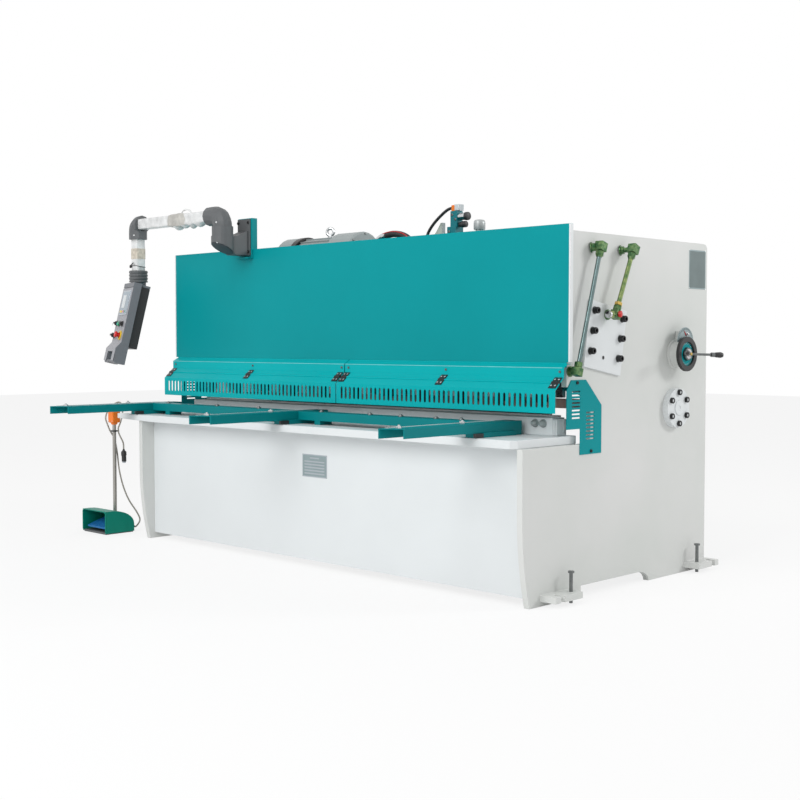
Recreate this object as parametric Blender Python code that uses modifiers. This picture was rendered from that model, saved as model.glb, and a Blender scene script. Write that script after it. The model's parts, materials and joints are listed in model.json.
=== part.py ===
"""Hydraulic swing beam shear for sheet metal.

Metres, +Z up. The machine's width runs along X, the operator stands at -Y, and
the origin is on the floor at the middle of the machine's bounding box.
"""
import math

import bmesh
import bpy
from mathutils import Euler, Matrix, Vector

# Clearances
SEAT_GAP = 0.0003
BLADE_GAP = 0.009
PIVOT_CLEAR = 0.0012

# Side plates
PLATE_OUT = 1.400
PLATE_T = 0.030
PLATE_TOP = 1.612
PLATE_BACK = 1.405
PLATE_FRONT = -0.050
PLATE_CURVE_Z = 0.400
UPPER_FRONT = 0.252
THROAT_TOP = 0.932
THROAT_BACK = 0.430
THROAT_FILLET = 0.040
PLATE_CORNER = 0.030
RECESS_FRONT = 0.366
RECESS_BACK = 0.904
RECESS_H = 0.050
RECESS_ARC = 0.086

# Table and bed
SLAB_TOP = 0.7155
SLAB_T = 0.037
SLAB_FRONT = -0.072
SLAB_BACK = 0.360
SLAB_RIGHT = 1.373
SLAB_LEFT = 1.587
SLAB_TIP_T = 0.028
SLAB_TAPER_FROM = 1.260
SLAB_CHAMFER = 0.026
BED_X = 1.310
BED_FRONT = 0.272
BED_H = 0.078
APRON_Y = 0.030
APRON_T = 0.016
APRON_BOTTOM = 0.033
WEB_BOTTOM = 0.260
WEB_T = 0.020

# Blades and swing beam
LOWER_BLADE_T = 0.026
LOWER_BLADE_H = 0.085
LOWER_BLADE_RISE = 0.007
BLADE_X = 1.270
UPPER_BLADE_T = 0.024
UPPER_BLADE_H = 0.085
UPPER_BLADE_LOW = 0.838
BLADE_RAKE = 0.040
BEAM_FACE_T = 0.035
BEAM_FACE_TOP = 1.440
BEAM_FACE_RISE = 0.030
BEAM_ARM_X = 1.340
BEAM_ARM_T = 0.045
BEAM_BOX_H = 0.120
BEAM_BOX_D = 0.150
BEAM_BOX_Z = 1.120
PIVOT_Y = 1.106
PIVOT_Z = 0.812
PIVOT_PIN_R = 0.045
PIVOT_BOSS_R = 0.110
FLANGE_R = 0.095
FLANGE_T = 0.030
FLANGE_BOLT_PCR = 0.075
FLANGE_BOLT_R = 0.012
BOLT_HEAD_H = 0.010

# Hold-down beam
HOLD_BACK_GAP = 0.028
HOLD_D = 0.085
HOLD_Z0 = 0.970
HOLD_H = 0.170
HOLD_COUNT = 11
HOLD_END = 0.060
HOLD_LAP = 0.020
RAM_L = 0.030
RAM_SHARE = 0.7
HOLD_R = 0.028
HOLD_FOOT_Z = 0.828

# Front cover
COVER_X = 1.430
COVER_FRONT = 0.232
COVER_TOP = 1.636
COVER_BOTTOM = 1.040
SHEET_T = 0.003

# Finger guard
GUARD_X = 1.420
GUARD_SEAM_X = 0.048
GUARD_SEAM = 0.006
GUARD_TOP = 1.037
HEAD_LEDGE_Z = 1.018
HEAD_Y = 0.204
HEAD_KNEE_Z = 0.976
KNUCKLE_R = 0.005
KNUCKLE_L = 0.070
HINGE_INSET = 0.045
HINGE_Y = 0.178
HINGE_Z = 0.953
FLAP_Y = 0.143
FLAP_KNEE_Z = 0.921
FLAP_BOTTOM = 0.822
SLOT_PITCH = 0.030
SLOT_W = 0.014
SLOT_TOP = 0.906
SLOT_BOTTOM = 0.845

# Side guards: how far they lap the throat, their cut corners and slots
SIDE_GUARD_T = 0.003
SIDE_FRONT_LAP = 0.003
SIDE_TOP_LAP = 0.030
SIDE_BACK_LAP = 0.078
SIDE_LOW_LAP = 0.0465
SIDE_STEP_UP = 0.0315
SIDE_STEP_IN = 0.099
SIDE_FRONT_CUT = (0.032, 0.045)
SIDE_BACK_CUT = (0.118, 0.115)
SIDE_SLOT_W = 0.060
SIDE_SLOT_H = 0.007
SIDE_SLOT_PITCH = 0.0165
SIDE_SLOTS = 8
SIDE_SLOT_FRONT = (0.038, 0.047)
SIDE_SLOT_BACK = (0.116, 0.142)

# Support arms
ARM_FACE_X = (-1.390, -0.120, 1.160)
ARM_W = 0.090
ARM_H = 0.042
ARM_T = 0.004
ARM_TOP = 0.778
ARM_FRONT = -0.570
ARM_BACK = 0.244
ARM_SLANT = 0.060
BAR_Y = 0.040
BAR_D = 0.080
RUNNER_W = 0.058
RUNNER_SETBACK = 0.004
WELD_LAP = 0.006
BAR_FOOT_W = 0.040
BAR_FOOT_AT = (0.12, 0.88)

# Feet
FOOT_OUT = 0.085
FOOT_Z = 0.022
FOOT_T = 0.028
FRONT_FOOT = (0.072, 0.265, 0.232, 0.125)
REAR_FOOT = (1.215, 1.400, 1.262, 1.352)
FOOT_SLOT_W = 0.026
FOOT_SLOT_D = 0.048
FOOT_SLOT_IN = 0.045
JACK_R = 0.008
JACK_H = 0.140
JACK_HEAD_R = 0.014
JACK_HEAD_H = 0.009

# Cylinder plates and pipes on the side plates
BOLT_PLATE_Y = 0.525
BOLT_PLATE_Z = 1.145
BOLT_PLATE_W = 0.285
BOLT_PLATE_H = 0.300
BOLT_PLATE_T = 0.012
BOLT_PLATE_TILT = math.radians(-9.5)
BOLT_COL = 0.108
BOLT_ROW = 0.091
BOLT_ROW_UP = 0.016
BOLT_R = 0.011

# Drive cylinders standing on the beam's cross box
CYL_X = 1.220
CYL_Y = 0.530
CYL_R = 0.050
CYL_LOW = 1.330
CYL_TOP = 1.575
CYL_CAP_H = 0.030
CYL_ROD_R = 0.028
CYL_BRACKET_H = 0.050
CYL_BRACKET_W = 0.140

# Oil pipes: flange, elbow and lower end as Y behind the cover and Z under the plate's top
PIPE_R = 0.0095
PIPE_BEND = 0.014
NUT_R = 0.016
NUT_L = 0.022
NUT_FROM = 0.030
PIPE_FLANGE_R = 0.020
PIPE_FLANGE_T = 0.012
FRONT_PIPE_OUT = 0.040
FRONT_PIPE = ((0.142, 0.070), (0.215, 0.063), (0.041, 0.612))
REAR_PIPE_OUT = 0.058
REAR_PIPE = ((0.334, 0.076), (0.439, 0.062), (0.301, 0.362))
TEE_R = 0.013
TEE_REACH = (0.059, 0.040)

# Gap dial
DIAL_Y = 1.115
DIAL_Z = 1.071
DIAL_R = 0.083
DIAL_T = 0.045
DIAL_FACE_R = 0.056
DIAL_FACE_DEEP = 0.008
DIAL_EDGE = 0.003
DIAL_BACK_R = 0.092
DIAL_BACK_T = 0.006
SCALE_R = 0.071
SCALE_UP = 0.057
SCALE_BACK = 0.015
SCALE_T = 0.003
HUB_R = 0.030
HUB_CLEAR = 0.001
HUB_SEAT = 0.012
HUB_OUT = 0.034
SPOKE_R = 0.006
SPOKE_L = 0.190
GRIP_R = 0.011
GRIP_L = 0.060
SPOKE_TILT = math.radians(33)
SPOKE_DROP = 0.030

# Tank and drive unit
TANK_X = 1.150
TANK_Y = (0.640, 1.120)
TANK_Z = (1.180, 1.455)
TANK_EDGE = 0.004
TIE_BEAM_D = 0.050
TIE_BEAM_IN = 0.020
TIE_BEAM_INSET = 0.010
MOTOR_UP = 0.145
MOTOR_Y = 0.750
MOTOR_X = -0.995
MOTOR_R = 0.118
MOTOR_RIB_R = 0.126
MOTOR_RIBS = 16
MOTOR_L = 0.299
FAN_R = 0.135
FAN_L = 0.142
FAN_EDGE = 0.012
BELL_R = 0.143
BELL_L = 0.190
BELL_EDGE = 0.010
MOTOR_FOOT_W = 0.180
MOTOR_FOOT_INSET = 0.030
VALVE_X = 0.310
VALVE_D = 0.110
VALVE_BASE = (0.120, 0.270)
VALVE_LOWER = (0.104, 0.030)
VALVE_UPPER = (0.092, 0.052)
VALVE_PLUG = (0.060, 0.030)
SOLENOID_R = 0.019
SOLENOID_L = 0.052
KNOB_R = 0.012
KNOB_L = 0.040
CAN_X = 0.476
CAN_R = 0.045
CAN_H = 0.300
CAN_RIM = 0.005

# Pendant
PEND_X = -0.770
PEND_Y = 0.070
PEND_ARM_Z = 1.812
PEND_ARM_L = 0.800
PEND_TUBE_R = 0.036
PEND_ELBOW_R = 0.052
INNER_REACH = 0.110
OUTER_REACH = 0.045
OUTER_DROP = 0.085
RING_DROP = 0.112
RING_H = 0.052
RING_EDGE = 0.004
PEND_RING_R = 0.062
PEND_BASE_W = 0.100
PEND_PLATE_T = 0.006
BASE_FLANGE_T = 0.012
BASE_DOWN = 0.098
BASE_UP = 0.100
BASE_NOSE_DOWN = 0.028
BASE_WEB_UP = 0.038
BRACKET_LAP = 0.010
BRACKET_DOWN = 0.017
BRACKET_UP = 0.005
BRACKET_LIP = 0.020
BRACKET_RETURN = 0.030
DROP_L = 0.267
COLLAR_R = 0.054
COLLAR_H = 0.067
BOX_YAW = math.radians(-20)
BOX_TILT = math.radians(13)
BOX_W = 0.240
BOX_L = 0.495
BOX_D = 0.046
BOX_FACE_Y = -0.050
BOX_TOP = 0.016
BOX_GROOVE_Z = 0.042
BOX_GROOVE = 0.004
BOX_FOOT_H = 0.125
BOX_FLARE = 0.025
BOX_FLARE_H = 0.040
BOX_EDGE = 0.010
NECK_L = 0.024
BOX_BACK_D = 0.102
BOX_BACK_W = 0.200
BOX_BACK_L = 0.360
HEAD_LOW = 0.032
HANDLE_W = 0.116
HANDLE_H = 0.048
HANDLE_UP = 0.017
NOTCH_H = 0.009
BUTTON_X = 0.055
BUTTON_UP = 0.165
BUTTON_R = 0.018
BUTTON_STEM_R = 0.0125
BUTTON_L = 0.039
BUTTON_TRAVEL = 0.004
BUTTON_CLEAR = 0.002
BUTTON_RECESS = 0.010
COLLAR_RIBS = 3
COLLAR_PITCH = 0.018

# Foot pedal
PEDAL_X = -1.770
PEDAL_Y = -0.0225
PEDAL_W = 0.245
PEDAL_L = 0.197
PEDAL_H = 0.135
PEDAL_WALL = 0.005
PEDAL_LIFT = 0.006
HOOD_FLAT = 0.047
HOOD_REAR_Z = 0.050
PEDAL_BASE_T = 0.012
BASE_SETBACK = 0.006
TREAD_SETBACK = 0.016
TREAD_Z = 0.030
TREAD_T = 0.010
TREAD_L = 0.113
TREAD_RISE = 0.330
TREAD_SIDE = 0.023
HINGE_POST_W = 0.060
HINGE_POST_D = 0.004
POLE_BACK = 0.0465
POLE_R = 0.011
POLE_TOP = 0.636
STOP_BOX_W = 0.054
STOP_BOX_H = 0.097
STOP_BOX_TAPER = 0.012
CORD_R = 0.0045
CORD_EXIT_X = 0.090
CORD_EXIT_Z = 0.026
PLUG_R = 0.016
PLUG_L = 0.062
TIE_R = 0.020
TIE_Z = 0.594
TIE_H = 0.008

ROUND = 24
SMALL_ROUND = 12


def clear_scene():
    """Empty the file of the objects and collections it opened with."""
    for thing in list(bpy.data.objects):
        bpy.data.objects.remove(thing, do_unlink=True)
    for group in list(bpy.data.collections):
        bpy.data.collections.remove(group)


def new_collection(name):
    group = bpy.data.collections.new(name)
    bpy.context.scene.collection.children.link(group)
    return group


def make_material(name, colour, roughness, metallic=0.0):
    material = bpy.data.materials.new(name)
    material.use_nodes = True
    shader = material.node_tree.nodes["Principled BSDF"]
    shader.inputs["Base Color"].default_value = (*colour, 1.0)
    shader.inputs["Roughness"].default_value = roughness
    shader.inputs["Metallic"].default_value = metallic
    material.diffuse_color = (*colour, 1.0)
    return material


clear_scene()
MACHINE = new_collection("swing_beam_shear")

WHITE = make_material("white paint", (0.78, 0.80, 0.79), 0.45)
TEAL = make_material("teal paint", (0.00, 0.33, 0.35), 0.40)
BRIGHT_TEAL = make_material("bright teal paint", (0.00, 0.42, 0.45), 0.40)
STEEL = make_material("bright steel", (0.55, 0.56, 0.57), 0.35, 0.9)
ZINC = make_material("zinc plate", (0.45, 0.47, 0.30), 0.40, 0.8)
BLACK = make_material("black plastic", (0.02, 0.02, 0.02), 0.50)
GREY = make_material("grey paint", (0.16, 0.17, 0.17), 0.50)
GREEN = make_material("green plastic", (0.00, 0.24, 0.16), 0.45)
BLUE = make_material("blue tread", (0.00, 0.16, 0.40), 0.60)
ORANGE = make_material("orange plastic", (0.90, 0.22, 0.00), 0.45)
RED = make_material("red plastic", (0.60, 0.01, 0.01), 0.40)
CABLE = make_material("cable sheath", (0.22, 0.19, 0.16), 0.60)


def link(thing, material=None, group=None):
    (group or MACHINE).objects.link(thing)
    if material is not None:
        thing.data.materials.clear()
        thing.data.materials.append(material)
    return thing


def settle(thing):
    """Bake the object's modifiers and its transform into its mesh."""
    bpy.context.view_layer.update()
    graph = bpy.context.evaluated_depsgraph_get()
    mesh = bpy.data.meshes.new_from_object(thing.evaluated_get(graph))
    mesh.transform(thing.matrix_world)
    built = bmesh.new()
    built.from_mesh(mesh)
    bmesh.ops.remove_doubles(built, verts=built.verts, dist=0.000002)
    bmesh.ops.recalc_face_normals(built, faces=built.faces)
    built.to_mesh(mesh)
    built.free()
    name = thing.name
    groups = list(thing.users_collection)
    bpy.data.objects.remove(thing, do_unlink=True)
    solid = bpy.data.objects.new(name, mesh)
    mesh.name = name
    for group in groups:
        group.objects.link(solid)
    return solid


def box(name, low, high, material=None, bevel=0.0):
    """A block between two corners, with its edges eased where asked."""
    mesh = bpy.data.meshes.new(name)
    built = bmesh.new()
    bmesh.ops.create_cube(built, size=1.0)
    size = [high[i] - low[i] for i in range(3)]
    middle = [(high[i] + low[i]) / 2 for i in range(3)]
    bmesh.ops.scale(built, vec=size, verts=built.verts)
    bmesh.ops.translate(built, vec=middle, verts=built.verts)
    built.to_mesh(mesh)
    built.free()
    thing = link(bpy.data.objects.new(name, mesh), material)
    if bevel:
        edge = thing.modifiers.new("Eased edges", "BEVEL")
        edge.width = bevel
        edge.segments = 2
        thing = settle(thing)
    return thing


def rod(name, start, end, radius, material=None, sides=ROUND, end_radius=None):
    """A round bar, or a cone, from one point to another."""
    start = Vector(start)
    end = Vector(end)
    mesh = bpy.data.meshes.new(name)
    built = bmesh.new()
    far = radius if end_radius is None else end_radius
    bmesh.ops.create_cone(built, cap_ends=True, segments=sides, radius1=radius,
                          radius2=far, depth=(end - start).length)
    turn = (end - start).to_track_quat("Z", "Y").to_matrix().to_4x4()
    place = Matrix.Translation((start + end) / 2) @ turn
    built.transform(place)
    built.to_mesh(mesh)
    built.free()
    return link(bpy.data.objects.new(name, mesh), material)


def slab_of(name, outline, axis, low, high, material=None):
    """A flat outline given thickness along one axis.

    The outline's two numbers are Y, Z for axis X; X, Z for Y; X, Y for Z.
    """
    curve = bpy.data.curves.new(name, "CURVE")
    curve.dimensions = "2D"
    curve.fill_mode = "BOTH"
    curve.extrude = (high - low) / 2
    line = curve.splines.new("POLY")
    line.points.add(len(outline) - 1)
    for point, (across, up) in zip(line.points, outline):
        point.co = (across, up, 0.0, 1.0)
    line.use_cyclic_u = True
    thing = link(bpy.data.objects.new(name, curve), material)
    middle = (low + high) / 2
    if axis == "X":
        frame = Matrix(((0, 0, 1, middle), (1, 0, 0, 0), (0, 1, 0, 0), (0, 0, 0, 1)))
    elif axis == "Y":
        frame = Matrix(((1, 0, 0, 0), (0, 0, -1, middle), (0, 1, 0, 0), (0, 0, 0, 1)))
    else:
        frame = Matrix.Translation((0, 0, middle))
    thing.matrix_world = frame
    return settle(thing)


def turned(name, base, toward, profile, material=None, sides=ROUND):
    """A solid of revolution; its profile lists radius and height from the far end to the base."""
    mesh = bpy.data.meshes.new(name)
    built = bmesh.new()
    line = [built.verts.new((0.0, 0.0, profile[0][1]))]
    line += [built.verts.new((radius, 0.0, height)) for radius, height in profile]
    line.append(built.verts.new((0.0, 0.0, profile[-1][1])))
    for upper, lower in zip(line, line[1:]):
        built.edges.new((upper, lower))
    built.to_mesh(mesh)
    built.free()
    thing = link(bpy.data.objects.new(name, mesh), material)
    spin = thing.modifiers.new("Turn", "SCREW")
    spin.steps = sides
    spin.render_steps = sides
    spin.use_merge_vertices = True
    spin.merge_threshold = 0.00001
    thing.rotation_euler = Vector(toward).to_track_quat("Z", "Y").to_euler()
    thing.location = base
    return settle(thing)


def arc(centre, radius, start, end, steps, flatten=1.0):
    """Points on an arc in degrees, squeezed across its second axis by flatten."""
    points = []
    for step in range(steps + 1):
        angle = math.radians(start + (end - start) * step / steps)
        points.append((centre[0] + radius * math.cos(angle),
                       centre[1] + radius * flatten * math.sin(angle)))
    return points


def bend(name, points, radius, material, sides=3, fillet=0.0, steps=6):
    """A round tube along a route whose corners are bent to one radius."""
    route = [Vector(point) for point in points]
    path = [route[0]]
    for before, corner, after in zip(route, route[1:], route[2:]):
        back = (before - corner).normalized()
        ahead = (after - corner).normalized()
        for step in range(steps + 1):
            share = step / steps
            path.append(corner + back * fillet * (1 - share) ** 2 + ahead * fillet * share ** 2)
    path.append(route[-1])
    curve = bpy.data.curves.new(name, "CURVE")
    curve.dimensions = "3D"
    curve.bevel_depth = radius
    curve.bevel_resolution = sides
    curve.use_fill_caps = True
    line = curve.splines.new("POLY")
    line.points.add(len(path) - 1)
    for point, place in zip(line.points, path):
        point.co = (*place, 1.0)
    return settle(link(bpy.data.objects.new(name, curve), material))


def combine(target, tools, operation):
    """Join the tools to the target, or cut them from it, and bake the result."""
    for tool in tools:
        step = target.modifiers.new(operation.title(), "BOOLEAN")
        step.operation = operation
        step.solver = "EXACT"
        step.object = tool
    solid = settle(target)
    for tool in tools:
        bpy.data.objects.remove(tool, do_unlink=True)
    return solid


def fuse(target, tools):
    return combine(target, tools, "UNION")


def cut(target, tools):
    return combine(target, tools, "DIFFERENCE")


def mirror_x(thing, name):
    """A mirrored copy of a finished solid on the machine's other side."""
    mesh = thing.data.copy()
    mesh.transform(Matrix.Scale(-1, 4, (1, 0, 0)))
    mesh.flip_normals()
    mesh.name = name
    return link(bpy.data.objects.new(name, mesh))


def side_plate_outline():
    """Profile of a side plate: curved front, feet, recess and open throat."""
    front = [(PLATE_FRONT * (1 - ((PLATE_CURVE_Z - z) / PLATE_CURVE_Z) ** 2), z)
             for z in [PLATE_CURVE_Z * step / 6 for step in range(6, -1, -1)]]
    shoulder = SLAB_TOP - SLAB_T - SEAT_GAP
    recess = [(RECESS_FRONT, 0.0), (RECESS_FRONT, RECESS_H)]
    recess += arc((RECESS_BACK - RECESS_ARC, 0.0), RECESS_ARC, 90, 0, 6, RECESS_H / RECESS_ARC)
    corner = arc((PLATE_BACK - PLATE_CORNER, PLATE_TOP - PLATE_CORNER), PLATE_CORNER, 0, 90, 4)
    inner = THROAT_BACK - THROAT_FILLET
    throat = [(UPPER_FRONT, PLATE_TOP), (UPPER_FRONT, THROAT_TOP)]
    throat += arc((inner, THROAT_TOP - THROAT_FILLET), THROAT_FILLET, 90, 0, 4)
    throat += arc((inner, shoulder + THROAT_FILLET), THROAT_FILLET, 0, -90, 4)
    throat += [(PLATE_FRONT, shoulder)]
    return front + recess + [(PLATE_BACK, 0.0)] + corner + throat


def side_plates():
    """Both side plates, bored for the beam's pivot pins."""
    right = slab_of("right_side_plate", side_plate_outline(), "X",
                    PLATE_OUT - PLATE_T, PLATE_OUT, WHITE)
    bore = rod("pivot bore", (PLATE_OUT - PLATE_T - 0.01, PIVOT_Y, PIVOT_Z),
               (PLATE_OUT + 0.01, PIVOT_Y, PIVOT_Z), PIVOT_PIN_R + SEAT_GAP)
    right = fuse(cut(right, [bore]), [foot_plate(*spans) for spans in (FRONT_FOOT, REAR_FOOT)])
    holes = []
    for spans in (FRONT_FOOT, REAR_FOOT):
        x = PLATE_OUT + FOOT_SLOT_IN
        holes.append(rod("hole", (x, spans[2], FOOT_Z - 0.01), (x, spans[2], FOOT_Z + FOOT_T + 0.01),
                         JACK_R + SEAT_GAP, sides=SMALL_ROUND))
    right = cut(right, holes)
    left = mirror_x(right, "left_side_plate")
    return [right, left]


def foot_plate(start, end, bolt_y, slot_y):
    """A foot welded to the plate's outer face, slotted for an anchor bolt."""
    foot = box("foot", (PLATE_OUT - PLATE_T / 2, start, FOOT_Z), (PLATE_OUT + FOOT_OUT, end, FOOT_Z + FOOT_T))
    slot = box("slot", (PLATE_OUT + FOOT_OUT - FOOT_SLOT_D, slot_y - FOOT_SLOT_W / 2, FOOT_Z - 0.01),
               (PLATE_OUT + FOOT_OUT + 0.01, slot_y + FOOT_SLOT_W / 2, FOOT_Z + FOOT_T + 0.01))
    return cut(foot, [slot])


def table():
    """Apron, slab, bed beam and lower blade."""
    inside = PLATE_OUT - PLATE_T - SEAT_GAP
    slab_low = SLAB_TOP - SLAB_T
    apron = box("front_apron", (-inside, APRON_Y, APRON_BOTTOM),
                (inside, APRON_Y + APRON_T, slab_low - SEAT_GAP), WHITE)
    web = box("bed_web", (-inside, SLAB_BACK - WEB_T, WEB_BOTTOM),
              (inside, SLAB_BACK, slab_low - SEAT_GAP), WHITE)
    outline = [(-SLAB_LEFT, SLAB_TOP), (-SLAB_LEFT, SLAB_TOP - SLAB_TIP_T),
               (-SLAB_TAPER_FROM, slab_low), (SLAB_RIGHT, slab_low), (SLAB_RIGHT, SLAB_TOP)]
    slab = slab_of("table_slab", outline, "Y", SLAB_FRONT, SLAB_BACK, WHITE)
    reach = SLAB_CHAMFER * 2
    corner = slab_of("slab corner", [(SLAB_RIGHT - SLAB_CHAMFER, SLAB_FRONT),
                                     (SLAB_RIGHT - SLAB_CHAMFER, SLAB_FRONT - reach),
                                     (SLAB_RIGHT + reach, SLAB_FRONT - reach),
                                     (SLAB_RIGHT + reach, SLAB_FRONT + SLAB_CHAMFER),
                                     (SLAB_RIGHT, SLAB_FRONT + SLAB_CHAMFER)],
                     "Z", slab_low - reach, SLAB_TOP + reach)
    notch = box("tip notch", (-SLAB_LEFT - reach, ARM_BACK, slab_low - reach),
                (-SLAB_RIGHT, SLAB_BACK + reach, SLAB_TOP + reach))
    slab = cut(slab, [corner, notch])
    bed_low = SLAB_TOP + SEAT_GAP
    bed = box("bed_beam", (-BED_X, BED_FRONT, bed_low), (BED_X, SLAB_BACK, SLAB_TOP + BED_H), WHITE)
    blade_top = SLAB_TOP + BED_H + LOWER_BLADE_RISE
    blade = box("lower_blade", (-BLADE_X, SLAB_BACK + SEAT_GAP, blade_top - LOWER_BLADE_H),
                (BLADE_X, SLAB_BACK + SEAT_GAP + LOWER_BLADE_T, blade_top), STEEL)
    return [apron, web, slab, bed, blade]


def blade_plane():
    """Y of the upper blade's front face."""
    return SLAB_BACK + SEAT_GAP + LOWER_BLADE_T + BLADE_GAP


def swing_beam():
    """The beam's face plate, end arms and cross box, with the raked blade."""
    front = blade_plane()
    low = UPPER_BLADE_LOW
    blade = slab_of("upper_blade", [(-BLADE_X, low), (BLADE_X, low + BLADE_RAKE),
                                    (BLADE_X, low + BLADE_RAKE + UPPER_BLADE_H),
                                    (-BLADE_X, low + UPPER_BLADE_H)],
                    "Y", front, front + UPPER_BLADE_T, STEEL)
    face_y = front + UPPER_BLADE_T + SEAT_GAP
    arm_in = BEAM_ARM_X - BEAM_ARM_T
    face_low = low + BEAM_FACE_RISE
    weld = BEAM_ARM_T / 2
    face = slab_of("swing_beam", [(-arm_in - weld, face_low), (arm_in + weld, face_low + BLADE_RAKE),
                                  (arm_in + weld, BEAM_FACE_TOP), (-arm_in - weld, BEAM_FACE_TOP)],
                   "Y", face_y, face_y + BEAM_FACE_T, TEAL)
    box_y = face_y + BEAM_FACE_T / 2
    cross = box("cross box", (-arm_in - weld, box_y, BEAM_BOX_Z),
                (arm_in + weld, box_y + BEAM_BOX_D, BEAM_BOX_Z + BEAM_BOX_H))
    nose = face_low + BLADE_RAKE
    outline = [(face_y, nose), (face_y, BEAM_FACE_TOP), (face_y + 0.16, BEAM_FACE_TOP)]
    outline += arc((PIVOT_Y, PIVOT_Z), PIVOT_BOSS_R, 55, -110, 8)
    right = slab_of("arm", outline, "X", arm_in, BEAM_ARM_X)
    bore = rod("arm bore", (arm_in - 0.01, PIVOT_Y, PIVOT_Z), (BEAM_ARM_X + 0.01, PIVOT_Y, PIVOT_Z),
               PIVOT_PIN_R + PIVOT_CLEAR)
    right = cut(right, [bore])
    left = mirror_x(right, "other arm")
    return [blade, fuse(face, [cross, right, left])]


def pivots():
    """A bolted flange on each side plate, whose pin carries the beam."""
    face = PLATE_OUT + SEAT_GAP
    right = rod("right_pivot_flange", (face, PIVOT_Y, PIVOT_Z), (face + FLANGE_T, PIVOT_Y, PIVOT_Z),
                FLANGE_R, WHITE, 32)
    pieces = [rod("pin", (BEAM_ARM_X - BEAM_ARM_T, PIVOT_Y, PIVOT_Z),
                  (face + FLANGE_T / 2, PIVOT_Y, PIVOT_Z), PIVOT_PIN_R)]
    for index in range(6):
        angle = math.radians(90 + 60 * index)
        y = PIVOT_Y + FLANGE_BOLT_PCR * math.cos(angle)
        z = PIVOT_Z + FLANGE_BOLT_PCR * math.sin(angle)
        pieces.append(rod("head", (face + FLANGE_T / 2, y, z),
                          (face + FLANGE_T + BOLT_HEAD_H, y, z), FLANGE_BOLT_R, sides=6))
    right = fuse(right, pieces)
    left = mirror_x(right, "left_pivot_flange")
    return [right, left]


def hold_downs():
    """The fixed hold-down beam with its row of cylinders."""
    inside = PLATE_OUT - PLATE_T - SEAT_GAP
    back = blade_plane() - HOLD_BACK_GAP
    beam = box("hold_down_beam", (-inside, back - HOLD_D, HOLD_Z0), (inside, back, HOLD_Z0 + HOLD_H), TEAL)
    pitch = 2 * (BLADE_X - HOLD_END) / (HOLD_COUNT - 1)
    y = back - HOLD_D / 2
    cylinders = []
    for index in range(HOLD_COUNT):
        x = -BLADE_X + HOLD_END + pitch * index
        cylinders.append(rod("cylinder", (x, y, HOLD_FOOT_Z + RAM_L), (x, y, HOLD_Z0 + HOLD_LAP), HOLD_R,
                             sides=10))
        cylinders.append(rod("ram", (x, y, HOLD_FOOT_Z), (x, y, HOLD_FOOT_Z + RAM_L + HOLD_LAP),
                             HOLD_R * RAM_SHARE, sides=8))
    return [fuse(beam, cylinders)]


def cover():
    """The folded front cover: a shallow tray against the side plates."""
    back = UPPER_FRONT - SEAT_GAP
    tray = box("front_cover", (-COVER_X, COVER_FRONT, COVER_BOTTOM), (COVER_X, back, COVER_TOP), TEAL)
    inner = box("cover inside", (-COVER_X + SHEET_T, COVER_FRONT + SHEET_T, COVER_BOTTOM + SHEET_T),
                (COVER_X - SHEET_T, back + 0.05, COVER_TOP - SHEET_T))
    return [cut(tray, [inner])]


def strip(points, thickness):
    """Closed outline of a sheet folded along an open line of points."""
    line = [Vector(point) for point in points]
    offset = []
    for index, point in enumerate(line):
        before = (point - line[index - 1]).normalized() if index else None
        after = (line[index + 1] - point).normalized() if index < len(line) - 1 else None
        run = before if after is None else after if before is None else (before + after).normalized()
        normal = Vector((-run.y, run.x))
        reach = thickness
        if before is not None and after is not None:
            reach = thickness / max(0.3, normal.dot(Vector((-after.y, after.x))))
        offset.append(point + normal * reach)
    return [tuple(point) for point in line] + [tuple(point) for point in reversed(offset)]


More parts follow.
